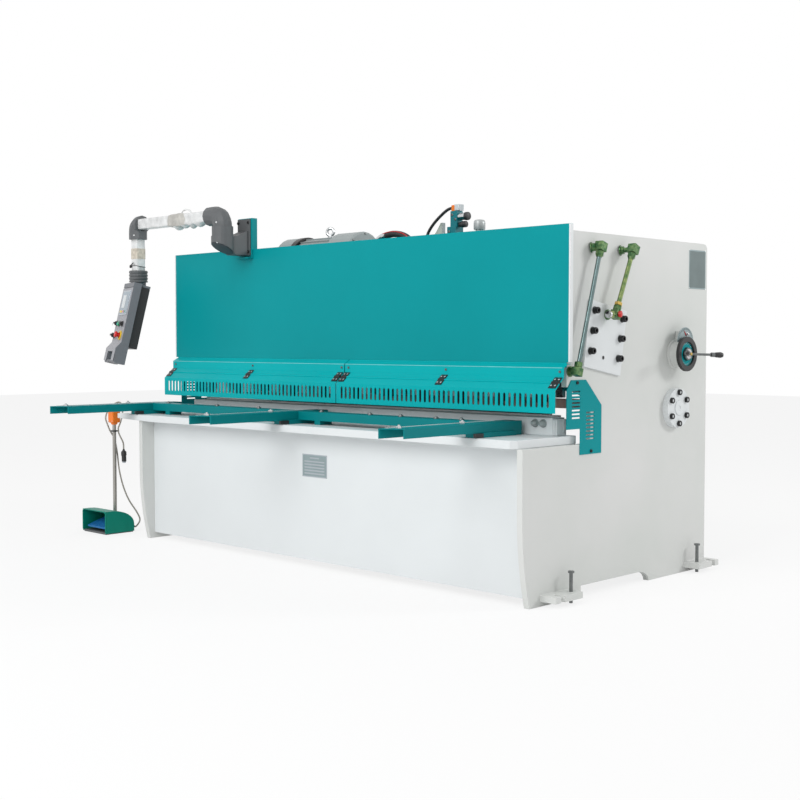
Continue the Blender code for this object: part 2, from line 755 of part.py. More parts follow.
def finger_guard():
    """Two fixed header strips and the two slotted flaps hinged under them."""
    back = UPPER_FRONT - SEAT_GAP
    hinge = Vector((HINGE_Y, HINGE_Z))
    clear = KNUCKLE_R + SEAT_GAP
    upward = (Vector((HEAD_Y, HEAD_KNEE_Z)) - hinge).normalized()
    downward = (Vector((FLAP_Y, FLAP_KNEE_Z)) - hinge).normalized()
    inset = Vector((upward.y, -upward.x)) * SHEET_T / 4
    leaf_line = [tuple(hinge + inset), tuple(hinge + inset + upward * clear * 2)]
    head_line = [tuple(hinge + upward * clear), (HEAD_Y, HEAD_KNEE_Z), (HEAD_Y, HEAD_LEDGE_Z),
                 (COVER_FRONT, GUARD_TOP - SHEET_T), (back, GUARD_TOP - SHEET_T)]
    flap_line = [(FLAP_Y, FLAP_BOTTOM), (FLAP_Y, FLAP_KNEE_Z), tuple(hinge + downward * clear)]
    spans = {"left": (-GUARD_X, GUARD_SEAM_X - GUARD_SEAM / 2),
             "right": (GUARD_SEAM_X + GUARD_SEAM / 2, GUARD_X)}
    pieces = []
    for side, (start, end) in spans.items():
        header = slab_of(side + "_guard_header", strip(head_line, -SHEET_T), "X", start, end, BRIGHT_TEAL)
        knuckles = []
        for share in (0.0, 0.5, 1.0):
            middle = start + HINGE_INSET + (end - start - 2 * HINGE_INSET) * share
            low, high = middle - KNUCKLE_L / 2, middle + KNUCKLE_L / 2
            knuckles.append(slab_of("leaf", strip(leaf_line, -SHEET_T / 2), "X", low, high))
            knuckles.append(rod("knuckle", (low, HINGE_Y, HINGE_Z), (high, HINGE_Y, HINGE_Z), KNUCKLE_R,
                                sides=SMALL_ROUND))
        pieces.append(fuse(header, knuckles))
        flap = slab_of(side + "_guard_flap", strip(flap_line, -SHEET_T), "X", start, end, BRIGHT_TEAL)
        count = int((end - start - 0.03) / SLOT_PITCH)
        first = (start + end - SLOT_PITCH * (count - 1)) / 2
        radius = SLOT_W / 2
        cutters = []
        for index in range(count):
            x = first + SLOT_PITCH * index
            outline = arc((x, SLOT_TOP - radius), radius, 0, 180, 3)
            outline += arc((x, SLOT_BOTTOM + radius), radius, 180, 360, 3)
            cutters.append(slab_of("slot", outline, "Y", FLAP_Y - 0.02, FLAP_Y + 0.02))
        comb = join_apart("slots", cutters)
        pieces.append(cut(flap, [comb]))
    return pieces


def join_apart(name, things):
    """One object from solids that do not touch."""
    mesh = bpy.data.meshes.new(name)
    built = bmesh.new()
    for thing in things:
        built.from_mesh(thing.data)
        bpy.data.objects.remove(thing, do_unlink=True)
    built.to_mesh(mesh)
    built.free()
    return link(bpy.data.objects.new(name, mesh))


def side_guards():
    """Flat slotted guards over the throat's open ends."""
    front = UPPER_FRONT - SIDE_FRONT_LAP
    top = THROAT_TOP + SIDE_TOP_LAP
    back = THROAT_BACK + SIDE_BACK_LAP
    low = SLAB_TOP - SLAB_T - SIDE_LOW_LAP
    step_z = SLAB_TOP + SIDE_STEP_UP
    step_y = front + SIDE_STEP_IN
    outline = [(front + SIDE_FRONT_CUT[0], top), (back - SIDE_BACK_CUT[0], top), (back, top - SIDE_BACK_CUT[1]),
               (back, low), (step_y, low), (step_y, step_z), (front, step_z), (front, top - SIDE_FRONT_CUT[1])]
    face = PLATE_OUT + SEAT_GAP
    right = slab_of("right_side_guard", outline, "X", face, face + SIDE_GUARD_T, BRIGHT_TEAL)
    cutters = []
    for y, first in ((front + SIDE_SLOT_FRONT[0], top - SIDE_SLOT_FRONT[1]),
                     (back - SIDE_SLOT_BACK[0], top - SIDE_SLOT_BACK[1])):
        for index in range(SIDE_SLOTS):
            z = first - SIDE_SLOT_PITCH * index
            cutters.append(box("slot", (face - SIDE_GUARD_T, y, z - SIDE_SLOT_H),
                               (face + SIDE_GUARD_T * 2, y + SIDE_SLOT_W, z)))
    right = cut(right, [join_apart("slots", cutters)])
    left = mirror_x(right, "left_side_guard")
    return [right, left]


def channel(name, x_face, front, back, material):
    """An open C channel along Y with a slanted front end."""
    low = ARM_TOP - ARM_H
    arm = slab_of(name, [(x_face - ARM_W, front), (x_face, front + ARM_SLANT), (x_face, back),
                         (x_face - ARM_W, back)], "Z", low, ARM_TOP, material)
    hollow = box("hollow", (x_face - ARM_W + ARM_T, front - 0.1, low - 0.1),
                 (x_face - ARM_T, back + 0.1, ARM_TOP - ARM_T))
    return cut(arm, [hollow])


def support_arms():
    """Three arms on the slab, and the cross bars and runners between them."""
    back = ARM_BACK
    low = ARM_TOP - ARM_H
    names = ("left", "middle", "right")
    pieces = []
    for name, face in zip(names, ARM_FACE_X):
        arm = channel(name + "_arm", face, ARM_FRONT, back, TEAL)
        runner = box("runner", (face - ARM_T / 2 - RUNNER_W, SLAB_FRONT + RUNNER_SETBACK, SLAB_TOP + SEAT_GAP),
                     (face - ARM_T / 2, back, low + WELD_LAP))
        pieces.append(fuse(arm, [runner]))
    for name, start, end in (("left", ARM_FACE_X[0], ARM_FACE_X[1]), ("right", ARM_FACE_X[1], ARM_FACE_X[2])):
        left = start + SEAT_GAP
        right = end - ARM_W - SEAT_GAP
        bar = box(name + "_cross_bar", (left, BAR_Y, low), (right, BAR_Y + BAR_D, ARM_TOP), TEAL)
        hollow = box("hollow", (left - 0.1, BAR_Y + ARM_T, low - 0.1),
                     (right + 0.1, BAR_Y + BAR_D - ARM_T, ARM_TOP - ARM_T))
        bar = cut(bar, [hollow])
        feet = []
        for share in BAR_FOOT_AT:
            x = left + (right - left) * share
            feet.append(box("foot", (x - BAR_FOOT_W / 2, BAR_Y, SLAB_TOP + SEAT_GAP),
                            (x + BAR_FOOT_W / 2, BAR_Y + BAR_D, low + ARM_T)))
        pieces.append(fuse(bar, feet))
    return pieces


def jack_bolts():
    """A jack bolt through each foot, standing on the floor."""
    x = PLATE_OUT + FOOT_SLOT_IN
    pieces = []
    for place, spans in (("front", FRONT_FOOT), ("rear", REAR_FOOT)):
        y = spans[2]
        bolt = rod(f"right_{place}_jack", (x, y, 0.0), (x, y, JACK_H - JACK_HEAD_H / 2), JACK_R, STEEL,
                   sides=SMALL_ROUND)
        head = rod("head", (x, y, JACK_H - JACK_HEAD_H), (x, y, JACK_H), JACK_HEAD_R, sides=6)
        bolt = fuse(bolt, [head])
        pieces += [bolt, mirror_x(bolt, f"left_{place}_jack")]
    return pieces


def turned_about(y, z, angle):
    """Turn about a line along X through a point of the side plate."""
    there = Matrix.Translation((0, y, z))
    return there @ Matrix.Rotation(angle, 4, "X") @ there.inverted()


def cylinder_plates():
    """Tilted bolted plates outside the side plates."""
    face = PLATE_OUT + SEAT_GAP
    right = box("right_cylinder_plate",
                (face, BOLT_PLATE_Y - BOLT_PLATE_W / 2, BOLT_PLATE_Z - BOLT_PLATE_H / 2),
                (face + BOLT_PLATE_T, BOLT_PLATE_Y + BOLT_PLATE_W / 2, BOLT_PLATE_Z + BOLT_PLATE_H / 2),
                WHITE, 0.002)
    heads = []
    for column in (-1, 1):
        for row in (-1, 0, 1):
            y = BOLT_PLATE_Y + BOLT_COL * column
            z = BOLT_PLATE_Z + BOLT_ROW_UP + BOLT_ROW * row
            heads.append(rod("head", (face + BOLT_PLATE_T / 2, y, z),
                             (face + BOLT_PLATE_T + BOLT_HEAD_H, y, z), BOLT_R, sides=6))
    right = fuse(right, heads)
    right.data.transform(turned_about(BOLT_PLATE_Y, BOLT_PLATE_Z, BOLT_PLATE_TILT))
    return [right, mirror_x(right, "left_cylinder_plate")]


def drive_cylinders():
    """Upright cylinders on brackets inside the side plates, their rods on the cross box."""
    seat = BEAM_BOX_Z + BEAM_BOX_H + SEAT_GAP
    inner = PLATE_OUT - PLATE_T - SEAT_GAP
    profile = [(CYL_R * 0.9, CYL_TOP), (CYL_R, CYL_TOP - CYL_CAP_H * 0.2), (CYL_R, CYL_TOP - CYL_CAP_H),
               (CYL_R * 0.9, CYL_TOP - CYL_CAP_H), (CYL_R * 0.9, CYL_LOW + CYL_CAP_H), (CYL_R, CYL_LOW + CYL_CAP_H),
               (CYL_R, CYL_LOW), (CYL_ROD_R, CYL_LOW), (CYL_ROD_R, seat)]
    right = turned("right_cylinder", (CYL_X, CYL_Y, 0.0), (0, 0, 1), profile, GREY, 20)
    arm = box("bracket", (CYL_X, CYL_Y - CYL_BRACKET_W / 2, CYL_TOP - CYL_BRACKET_H - CYL_CAP_H / 2),
              (inner, CYL_Y + CYL_BRACKET_W / 2, CYL_TOP - CYL_CAP_H / 2))
    right = fuse(right, [arm])
    return [right, mirror_x(right, "left_cylinder")]


def oil_line(name, stand, points, foot_face):
    """A pipe from its flange through an elbow down to its foot, with hex nuts at both ends."""
    face = PLATE_OUT + SEAT_GAP
    x = face + stand
    flange, turn, foot = [Vector((x, COVER_FRONT + back, PLATE_TOP - down)) for back, down in points]
    wall = Vector((face, flange.y, flange.z))
    base = Vector((foot_face, foot.y, foot.z))
    pipe = bend(name, [wall, flange, turn, foot, base], PIPE_R, ZINC, 2, PIPE_BEND, 3)
    run = (foot - turn).normalized()
    out = Vector((PIPE_FLANGE_T, 0.0, 0.0))
    tools = [rod("flange", wall, wall + out, PIPE_FLANGE_R, sides=10), rod("foot", base, base + out, PIPE_FLANGE_R, sides=10)]
    for middle in (turn + run * NUT_FROM, foot - run * NUT_FROM):
        tools.append(rod("nut", middle - run * NUT_L / 2, middle + run * NUT_L / 2, NUT_R, sides=6))
    return fuse(pipe, tools)


def oil_lines():
    """Two pipes with their elbows on each side plate."""
    face = PLATE_OUT + SEAT_GAP
    front = oil_line("right_front_pipe", FRONT_PIPE_OUT, FRONT_PIPE, face)
    bolt_face = face + BOLT_PLATE_T + SEAT_GAP
    rear = oil_line("right_rear_pipe", REAR_PIPE_OUT, REAR_PIPE, bolt_face)
    x = face + REAR_PIPE_OUT
    y = COVER_FRONT + REAR_PIPE[2][0]
    z = PLATE_TOP - REAR_PIPE[2][1]
    tee = rod("tee", (x, y - TEE_REACH[0], z), (x, y + TEE_REACH[1], z), TEE_R, sides=8)
    rear = fuse(rear, [tee])
    return [front, rear, mirror_x(front, "left_front_pipe"), mirror_x(rear, "left_rear_pipe")]


def gap_dial():
    """Dial body on the right plate, and the two-lever handle that turns in it."""
    face = PLATE_OUT + SEAT_GAP
    floor = DIAL_T - DIAL_FACE_DEEP
    bore_r = HUB_R + HUB_CLEAR
    profile = [(bore_r, floor - HUB_SEAT), (bore_r, floor), (DIAL_FACE_R, floor),
               (DIAL_FACE_R + DIAL_EDGE, DIAL_T), (DIAL_R - DIAL_EDGE, DIAL_T), (DIAL_R, DIAL_T - DIAL_EDGE),
               (DIAL_R, DIAL_BACK_T), (DIAL_BACK_R, DIAL_BACK_T), (DIAL_BACK_R, 0.0)]
    body = turned("dial_ring", (face, DIAL_Y, DIAL_Z), (1, 0, 0), profile, BLACK, 24)
    outline = arc((DIAL_Y + SCALE_BACK, DIAL_Z + SCALE_UP), SCALE_R, 0, 180, 10)
    scale = slab_of("scale", outline, "X", face + SEAT_GAP, face + SEAT_GAP + SCALE_T)
    body = fuse(body, [scale])
    hub_start = face + floor - HUB_SEAT + SEAT_GAP
    hub_end = face + DIAL_T + HUB_OUT
    hub_l = hub_end - hub_start
    hub_profile = [(HUB_R - DIAL_EDGE, hub_l), (HUB_R, hub_l - DIAL_EDGE), (HUB_R, 0.0)]
    handle = turned("gap_handle", (hub_start, DIAL_Y, DIAL_Z), (1, 0, 0), hub_profile, STEEL)
    middle = Vector((hub_end - HUB_OUT / 2, DIAL_Y, DIAL_Z))
    tools = []
    for turn in (1, -1):
        along = Vector((math.sin(SPOKE_TILT), math.cos(SPOKE_TILT) * turn, -SPOKE_DROP * turn)).normalized()
        tools.append(rod("spoke", middle, middle + along * SPOKE_L, SPOKE_R, sides=SMALL_ROUND))
        tools.append(rod("grip", middle + along * (SPOKE_L - GRIP_L), middle + along * SPOKE_L, GRIP_R,
                         sides=SMALL_ROUND))
    handle = fuse(handle, tools)
    return [body, handle]


def motor_and_pump(top):
    """The finned motor with its fan cover, and the bell that carries the pump."""
    body_end = FAN_L + MOTOR_L
    total = body_end + BELL_L
    profile = [(BELL_R - BELL_EDGE, total), (BELL_R, total - BELL_EDGE), (BELL_R, body_end + BELL_EDGE),
               (BELL_R - BELL_EDGE, body_end), (MOTOR_R, body_end), (MOTOR_R, FAN_L), (FAN_R, FAN_L),
               (FAN_R, FAN_EDGE), (FAN_R - FAN_EDGE, 0.0)]
    z = top + MOTOR_UP
    motor = turned("motor", (MOTOR_X, MOTOR_Y, z), (1, 0, 0), profile, GREY, 24)
    ribs = []
    for index in range(MOTOR_RIBS):
        rib = box("rib", (MOTOR_X + FAN_L - SEAT_GAP, -SHEET_T / 2, MOTOR_R * 0.9),
                  (MOTOR_X + body_end + SEAT_GAP, SHEET_T / 2, MOTOR_RIB_R))
        turn = Matrix.Rotation(math.tau * (index + 0.5) / MOTOR_RIBS, 4, "X")
        rib.data.transform(Matrix.Translation((0.0, MOTOR_Y, z)) @ turn)
        ribs.append(rib)
    foot = box("foot", (MOTOR_X + FAN_L + MOTOR_FOOT_INSET, MOTOR_Y - MOTOR_FOOT_W / 2, top),
               (MOTOR_X + body_end - MOTOR_FOOT_INSET, MOTOR_Y + MOTOR_FOOT_W / 2, z - MOTOR_R / 2))
    motor = fuse(motor, [foot])
    return fuse(motor, [join_apart("ribs", ribs)])


def block_on(name, low, width, height, material=None):
    """A valve block about the stack's middle line, standing at a height."""
    return box(name, (VALVE_X - width / 2, MOTOR_Y - VALVE_D / 2, low),
               (VALVE_X + width / 2, MOTOR_Y + VALVE_D / 2, low + height), material)


def drive_unit():
    """Oil tank between the plates, and what stands on it."""
    inside = PLATE_OUT - PLATE_T - SEAT_GAP
    tank = box("oil_tank", (-TANK_X, TANK_Y[0], TANK_Z[0]), (TANK_X, TANK_Y[1], TANK_Z[1]), TEAL, TANK_EDGE)
    beam = box("cross beam", (-inside, TANK_Y[1] - TIE_BEAM_IN, TANK_Z[0] + TIE_BEAM_INSET),
               (inside, TANK_Y[1] + TIE_BEAM_D, TANK_Z[1] - TIE_BEAM_INSET))
    top = TANK_Z[1] + SEAT_GAP
    stack = block_on("valve_stack", top, *VALVE_BASE, TEAL)
    blocks = []
    low = top + VALVE_BASE[1]
    for width, height in (VALVE_LOWER, VALVE_UPPER, VALVE_PLUG):
        blocks.append(block_on("block", low - SHEET_T, width, height + SHEET_T))
        low += height
    upper_z = top + VALVE_BASE[1] + VALVE_LOWER[1]
    blocks.append(rod("solenoid", (VALVE_X, MOTOR_Y, upper_z + VALVE_UPPER[1] / 2),
                      (VALVE_X + VALVE_UPPER[0] / 2 + SOLENOID_L, MOTOR_Y, upper_z + VALVE_UPPER[1] / 2),
                      SOLENOID_R, sides=SMALL_ROUND))
    blocks.append(rod("knob", (VALVE_X, MOTOR_Y, upper_z - VALVE_LOWER[1] / 2),
                      (VALVE_X + VALVE_LOWER[0] / 2 + KNOB_L, MOTOR_Y, upper_z - VALVE_LOWER[1] / 2),
                      KNOB_R, sides=SMALL_ROUND))
    stack = fuse(stack, blocks)
    can = turned("breather_can", (CAN_X, MOTOR_Y, top), (0, 0, 1),
                 [(CAN_R - CAN_RIM, CAN_H), (CAN_R, CAN_H - CAN_RIM), (CAN_R, CAN_H - CAN_RIM * 4),
                  (CAN_R - CAN_RIM, CAN_H - CAN_RIM * 5), (CAN_R - CAN_RIM, 0.0)], STEEL)
    return [fuse(tank, [beam]), motor_and_pump(top), stack, can]


def ring_low():
    """Z of the swivel ring's underside, where it sits on its base."""
    return PEND_ARM_Z - RING_DROP


def collar_low():
    """Z of the collar's underside, where the control box hangs."""
    return PEND_ARM_Z - DROP_L - COLLAR_H


def pendant_mount():
    """The bracket on the front cover, and the cast base bolted to it."""
    plate_y = COVER_FRONT - SEAT_GAP
    flange_y = plate_y - PEND_PLATE_T
    half = PEND_BASE_W / 2
    ring_z = ring_low()
    base_low = ring_z - BASE_DOWN
    base_top = ring_z + BASE_UP
    plate_low = base_low - BRACKET_DOWN
    plate_top = max(base_top + BRACKET_UP, COVER_TOP + BRACKET_LIP)
    plate_x = PEND_X + half + BRACKET_LAP
    bracket = box("pendant_bracket", (PEND_X - half - BRACKET_LAP, flange_y, plate_low),
                  (plate_x, plate_y, plate_top), TEAL)
    side = box("return", (plate_x - PEND_PLATE_T, flange_y, COVER_TOP + SEAT_GAP),
               (plate_x, plate_y + BRACKET_RETURN, plate_top))
    foot = box("foot", (PEND_X - half + BRACKET_LAP, flange_y - BRACKET_RETURN, plate_low),
               (plate_x, flange_y + PEND_PLATE_T / 2, plate_low + PEND_PLATE_T))
    bracket = fuse(bracket, [side, foot])
    seat_y = flange_y - SEAT_GAP
    base = box("pendant_base", (PEND_X - half, seat_y - BASE_FLANGE_T, base_low), (PEND_X + half, seat_y, base_top),
               GREY)
    seat_z = ring_z - SEAT_GAP
    web_y = seat_y - BASE_FLANGE_T / 2
    reach = PEND_RING_R + BRACKET_LAP
    web = slab_of("web", [(PEND_Y - reach, seat_z), (PEND_Y - reach, ring_z - BASE_NOSE_DOWN),
                          (PEND_Y + PEND_RING_R, base_low), (web_y, base_low), (web_y, ring_z + BASE_WEB_UP),
                          (PEND_Y + PEND_RING_R, seat_z)], "X", PEND_X - reach, PEND_X + reach)
    body = rod("body", (PEND_X, PEND_Y, base_low - reach), (PEND_X, PEND_Y, base_top + reach), PEND_RING_R)
    rib = box("rib", (PEND_X - half + BRACKET_LAP, PEND_Y, base_low - reach),
              (PEND_X + half - BRACKET_LAP, web_y + BRACKET_LAP, base_top + reach))
    web = combine(web, [fuse(body, [rib])], "INTERSECT")
    return [bracket, fuse(base, [web])]


def pendant_arm():
    """The swivelling arm: ring and elbow, tube, outer elbow, drop tube and ribbed collar."""
    ring_z = ring_low()
    end_x = PEND_X - PEND_ARM_L
    drop_top = PEND_ARM_Z - OUTER_DROP
    drop_low = PEND_ARM_Z - DROP_L
    arm = rod("pendant_arm_swivel", (PEND_X, PEND_Y, ring_z), (PEND_X, PEND_Y, ring_z + RING_H),
              PEND_RING_R - RING_EDGE, GREY)
    inner = bend("elbow", [(PEND_X, PEND_Y, ring_z + RING_H / 2), (PEND_X, PEND_Y, PEND_ARM_Z),
                           (PEND_X - INNER_REACH, PEND_Y, PEND_ARM_Z)], PEND_ELBOW_R, GREY, 4,
                 PEND_ELBOW_R + BRACKET_LAP)
    arm = fuse(arm, [inner])
    tube = rod("pendant_arm_tube", (PEND_X - INNER_REACH - SEAT_GAP, PEND_Y, PEND_ARM_Z),
               (end_x + OUTER_REACH + SEAT_GAP, PEND_Y, PEND_ARM_Z), PEND_TUBE_R, WHITE)
    outer = bend("pendant_outer_elbow", [(end_x + OUTER_REACH, PEND_Y, PEND_ARM_Z), (end_x, PEND_Y, PEND_ARM_Z),
                                         (end_x, PEND_Y, drop_top)], PEND_ELBOW_R, GREY, 4, OUTER_REACH * 0.9)
    drop = rod("pendant_drop_tube", (end_x, PEND_Y, drop_top - SEAT_GAP), (end_x, PEND_Y, drop_low + SEAT_GAP),
               PEND_TUBE_R, WHITE)
    ribs = []
    for index in range(COLLAR_RIBS):
        top_z = COLLAR_H - COLLAR_PITCH * index
        ribs += [(COLLAR_R * 0.93, top_z), (COLLAR_R, top_z - COLLAR_PITCH * 0.3),
                 (COLLAR_R, top_z - COLLAR_PITCH * 0.7)]
    collar = turned("pendant_collar", (end_x, PEND_Y, collar_low()), (0, 0, 1),
                    ribs + [(COLLAR_R * 0.93, COLLAR_PITCH * 0.6), (COLLAR_R, COLLAR_PITCH * 0.3), (COLLAR_R, 0.0)], GREY, 20)
    return [arm, tube, outer, drop, collar]


def control_box():
    """The leaning control box: flared front shell, rear housing and stop button."""
    top = Vector((PEND_X - PEND_ARM_L, PEND_Y, collar_low() - SEAT_GAP))
    place = Matrix.Translation(top) @ Euler((0, 0, BOX_YAW)).to_matrix().to_4x4()
    lean = place @ Matrix.Rotation(-BOX_TILT, 4, "X")
    face = BOX_FACE_Y
    shell_back = face + BOX_D
    groove = BOX_GROOVE
    waist = BOX_L - BOX_FOOT_H
    handle_low = HANDLE_UP - BOX_L
    button_z = BUTTON_UP - BOX_L
    outline = [(shell_back, -BOX_TOP), (shell_back, -BOX_L), (face - BOX_FLARE + BOX_EDGE, -BOX_L),
               (face - BOX_FLARE + BOX_EDGE / 2, -BOX_L + BOX_EDGE), (face - BOX_FLARE, -waist - BOX_FLARE_H),
               (face, -waist), (face, -BOX_GROOVE_Z - groove), (face + groove, -BOX_GROOVE_Z - groove),
               (face + groove, -BOX_GROOVE_Z), (face, -BOX_GROOVE_Z), (face, -BOX_TOP)]
    front = slab_of("control_box", outline, "X", -BOX_W / 2, BOX_W / 2, GREY)
    head = box("head", (-BOX_BACK_W / 2, face + BOX_D / 2, -HEAD_LOW),
               (BOX_BACK_W / 2, face + BOX_BACK_D, -BOX_TOP - SHEET_T))
    front = fuse(front, [head])
    slot_half = HANDLE_W / 2
    notch_r = (HANDLE_W ** 2 / 4 + NOTCH_H ** 2) / (2 * NOTCH_H)
    slot = box("slot", (-slot_half, face - BOX_D, handle_low), (slot_half, shell_back + BOX_D, handle_low + HANDLE_H))
    notch = slab_of("notch", arc((0.0, -BOX_L + NOTCH_H - notch_r), notch_r, 40, 140, 12),
                    "Y", face - BOX_D, shell_back + BOX_D)
    front = cut(front, [slot, notch])
    front.data.transform(lean)
    neck = rod("neck", (0.0, 0.0, -NECK_L), (0.0, 0.0, 0.0), COLLAR_R * 0.8)
    neck.data.transform(place)
    front = fuse(front, [neck])
    rear = box("control_box_rear", (-BOX_BACK_W / 2, shell_back + SEAT_GAP, -HEAD_LOW - BOX_BACK_L),
               (BOX_BACK_W / 2, face + BOX_BACK_D, -HEAD_LOW - SEAT_GAP), BLACK, BOX_GROOVE)
    rear.data.transform(lean)
    recess = rod("recess", (BUTTON_X, face - BUTTON_RECESS, button_z), (BUTTON_X, face + BUTTON_RECESS, button_z),
                 BUTTON_STEM_R + SEAT_GAP)
    recess.data.transform(lean)
    front = cut(front, [recess])
    edge = BUTTON_L * 0.1
    button = turned("stop_button", (BUTTON_X, face + BUTTON_RECESS - BUTTON_TRAVEL - BUTTON_CLEAR, button_z),
                    (0, -1, 0),
                    [(BUTTON_R * 0.8, BUTTON_L), (BUTTON_R, BUTTON_L - edge), (BUTTON_R, BUTTON_L - edge * 3),
                     (BUTTON_STEM_R, BUTTON_L - edge * 4), (BUTTON_STEM_R, 0.0)], RED, 20)
    button.data.transform(lean)
    return [front, rear, button]


def hood_outline(front, back, top, low, wall):
    """Side profile of the hood, drawn in by its wall for the hollow."""
    turn_y = front + HOOD_FLAT
    flat = [(front - (HOOD_FLAT if wall else 0.0), low), (front - (HOOD_FLAT if wall else 0.0), top - wall)]
    curve = arc((turn_y, HOOD_REAR_Z), back - wall - turn_y, 90, 0, 8,
                (top - wall - HOOD_REAR_Z) / (back - wall - turn_y))
    return flat + curve + [(back - wall, low)]


def foot_pedal():
    """Free-standing pedal: hood, base, tread, pole and the box on top."""
    half = PEDAL_W / 2
    front = PEDAL_Y - PEDAL_L / 2
    back = PEDAL_Y + PEDAL_L / 2
    wall = PEDAL_WALL
    hood = slab_of("pedal_hood", hood_outline(front, back, PEDAL_H, PEDAL_LIFT, 0.0), "X",
                   PEDAL_X - half, PEDAL_X + half, GREEN)
    hollow = slab_of("hollow", hood_outline(front, back, PEDAL_H, -PEDAL_LIFT, wall), "X",
                     PEDAL_X - half + wall, PEDAL_X + half - wall)
    pole_y = PEDAL_Y + POLE_BACK
    hole = rod("hole", (PEDAL_X, pole_y, PEDAL_H / 2), (PEDAL_X, pole_y, PEDAL_H * 1.5),
               POLE_R + SEAT_GAP, sides=SMALL_ROUND)
    hood = cut(hood, [hollow, hole])
    base = box("pedal_base", (PEDAL_X - half + wall + SEAT_GAP, front + BASE_SETBACK, 0.0),
               (PEDAL_X + half - wall - SEAT_GAP, back - wall - SEAT_GAP, PEDAL_BASE_T), GREY)
    tread_y = front + TREAD_SETBACK
    rise = TREAD_L * TREAD_RISE
    tread = slab_of("pedal_tread", [(tread_y, TREAD_Z), (tread_y + TREAD_L, TREAD_Z + rise),
                                    (tread_y + TREAD_L, TREAD_Z + rise + TREAD_T), (tread_y, TREAD_Z + TREAD_T)],
                    "X", PEDAL_X - half + TREAD_SIDE + wall, PEDAL_X + half - TREAD_SIDE - wall, BLUE)
    hinge_y, hinge_z = tread_hinge()
    post = box("tread post", (PEDAL_X - HINGE_POST_W / 2, hinge_y, PEDAL_BASE_T / 2),
               (PEDAL_X + HINGE_POST_W / 2, hinge_y + HINGE_POST_D, hinge_z - SEAT_GAP))
    base = fuse(base, [post])
    pole = rod("pedal_pole", (PEDAL_X, pole_y, PEDAL_BASE_T + SEAT_GAP), (PEDAL_X, pole_y, POLE_TOP), POLE_R,
               STEEL, SMALL_ROUND)
    stop_half = STOP_BOX_W / 2
    stop_low = POLE_TOP + SEAT_GAP
    stop = box("stop_box", (PEDAL_X - stop_half, pole_y - stop_half, stop_low + STOP_BOX_TAPER),
               (PEDAL_X + stop_half, pole_y + stop_half, POLE_TOP + STOP_BOX_H), ORANGE, STOP_BOX_TAPER / 2)
    boss = rod("boss", (PEDAL_X, pole_y, stop_low), (PEDAL_X, pole_y, stop_low + STOP_BOX_TAPER * 1.5),
               POLE_R * 1.4, end_radius=stop_half * 0.95)
    stop = fuse(stop, [boss])
    tie = rod("cable_tie", (PEDAL_X, pole_y, TIE_Z), (PEDAL_X, pole_y, TIE_Z + TIE_H), TIE_R, BLACK,
              SMALL_ROUND)
    tie_hole = rod("hole", (PEDAL_X, pole_y, TIE_Z - TIE_H), (PEDAL_X, pole_y, TIE_Z + TIE_H * 2),
                   POLE_R + SEAT_GAP, sides=SMALL_ROUND)
    tie = cut(tie, [tie_hole])
    return [hood, base, tread, pole, stop, tie] + pedal_cord(pole_y, back)


def tread_hinge():
    """Y and Z of the line under the tread's back edge that it rocks on."""
    hinge_y = PEDAL_Y - PEDAL_L / 2 + TREAD_SETBACK + TREAD_L - HINGE_POST_D
    return hinge_y, TREAD_Z + (TREAD_L - HINGE_POST_D) * TREAD_RISE


def smooth_route(route, spacing):
    """Points evenly along a smooth curve through the route's own points."""
    ends = [route[0] * 2 - route[1]] + route + [route[-1] * 2 - route[-2]]
    fine = []
    for a, b, c, d in zip(ends, ends[1:], ends[2:], ends[3:]):
        for step in range(20):
            t = step / 20
            fine.append((b * 2 + (c - a) * t + (a * 2 - b * 5 + c * 4 - d) * t * t
                         + (b * 3 - a - c * 3 + d) * t ** 3) / 2)
    fine.append(route[-1])
    total = sum((after - before).length for before, after in zip(fine, fine[1:]))
    count = max(2, round(total / spacing))
    points = [fine[0]]
    walked = 0.0
    for before, after in zip(fine, fine[1:]):
        length = (after - before).length
        while len(points) < count and walked + length >= total * len(points) / count:
            share = (total * len(points) / count - walked) / length
            points.append(before.lerp(after, share))
        walked += length
    return points[:count] + [fine[-1]]


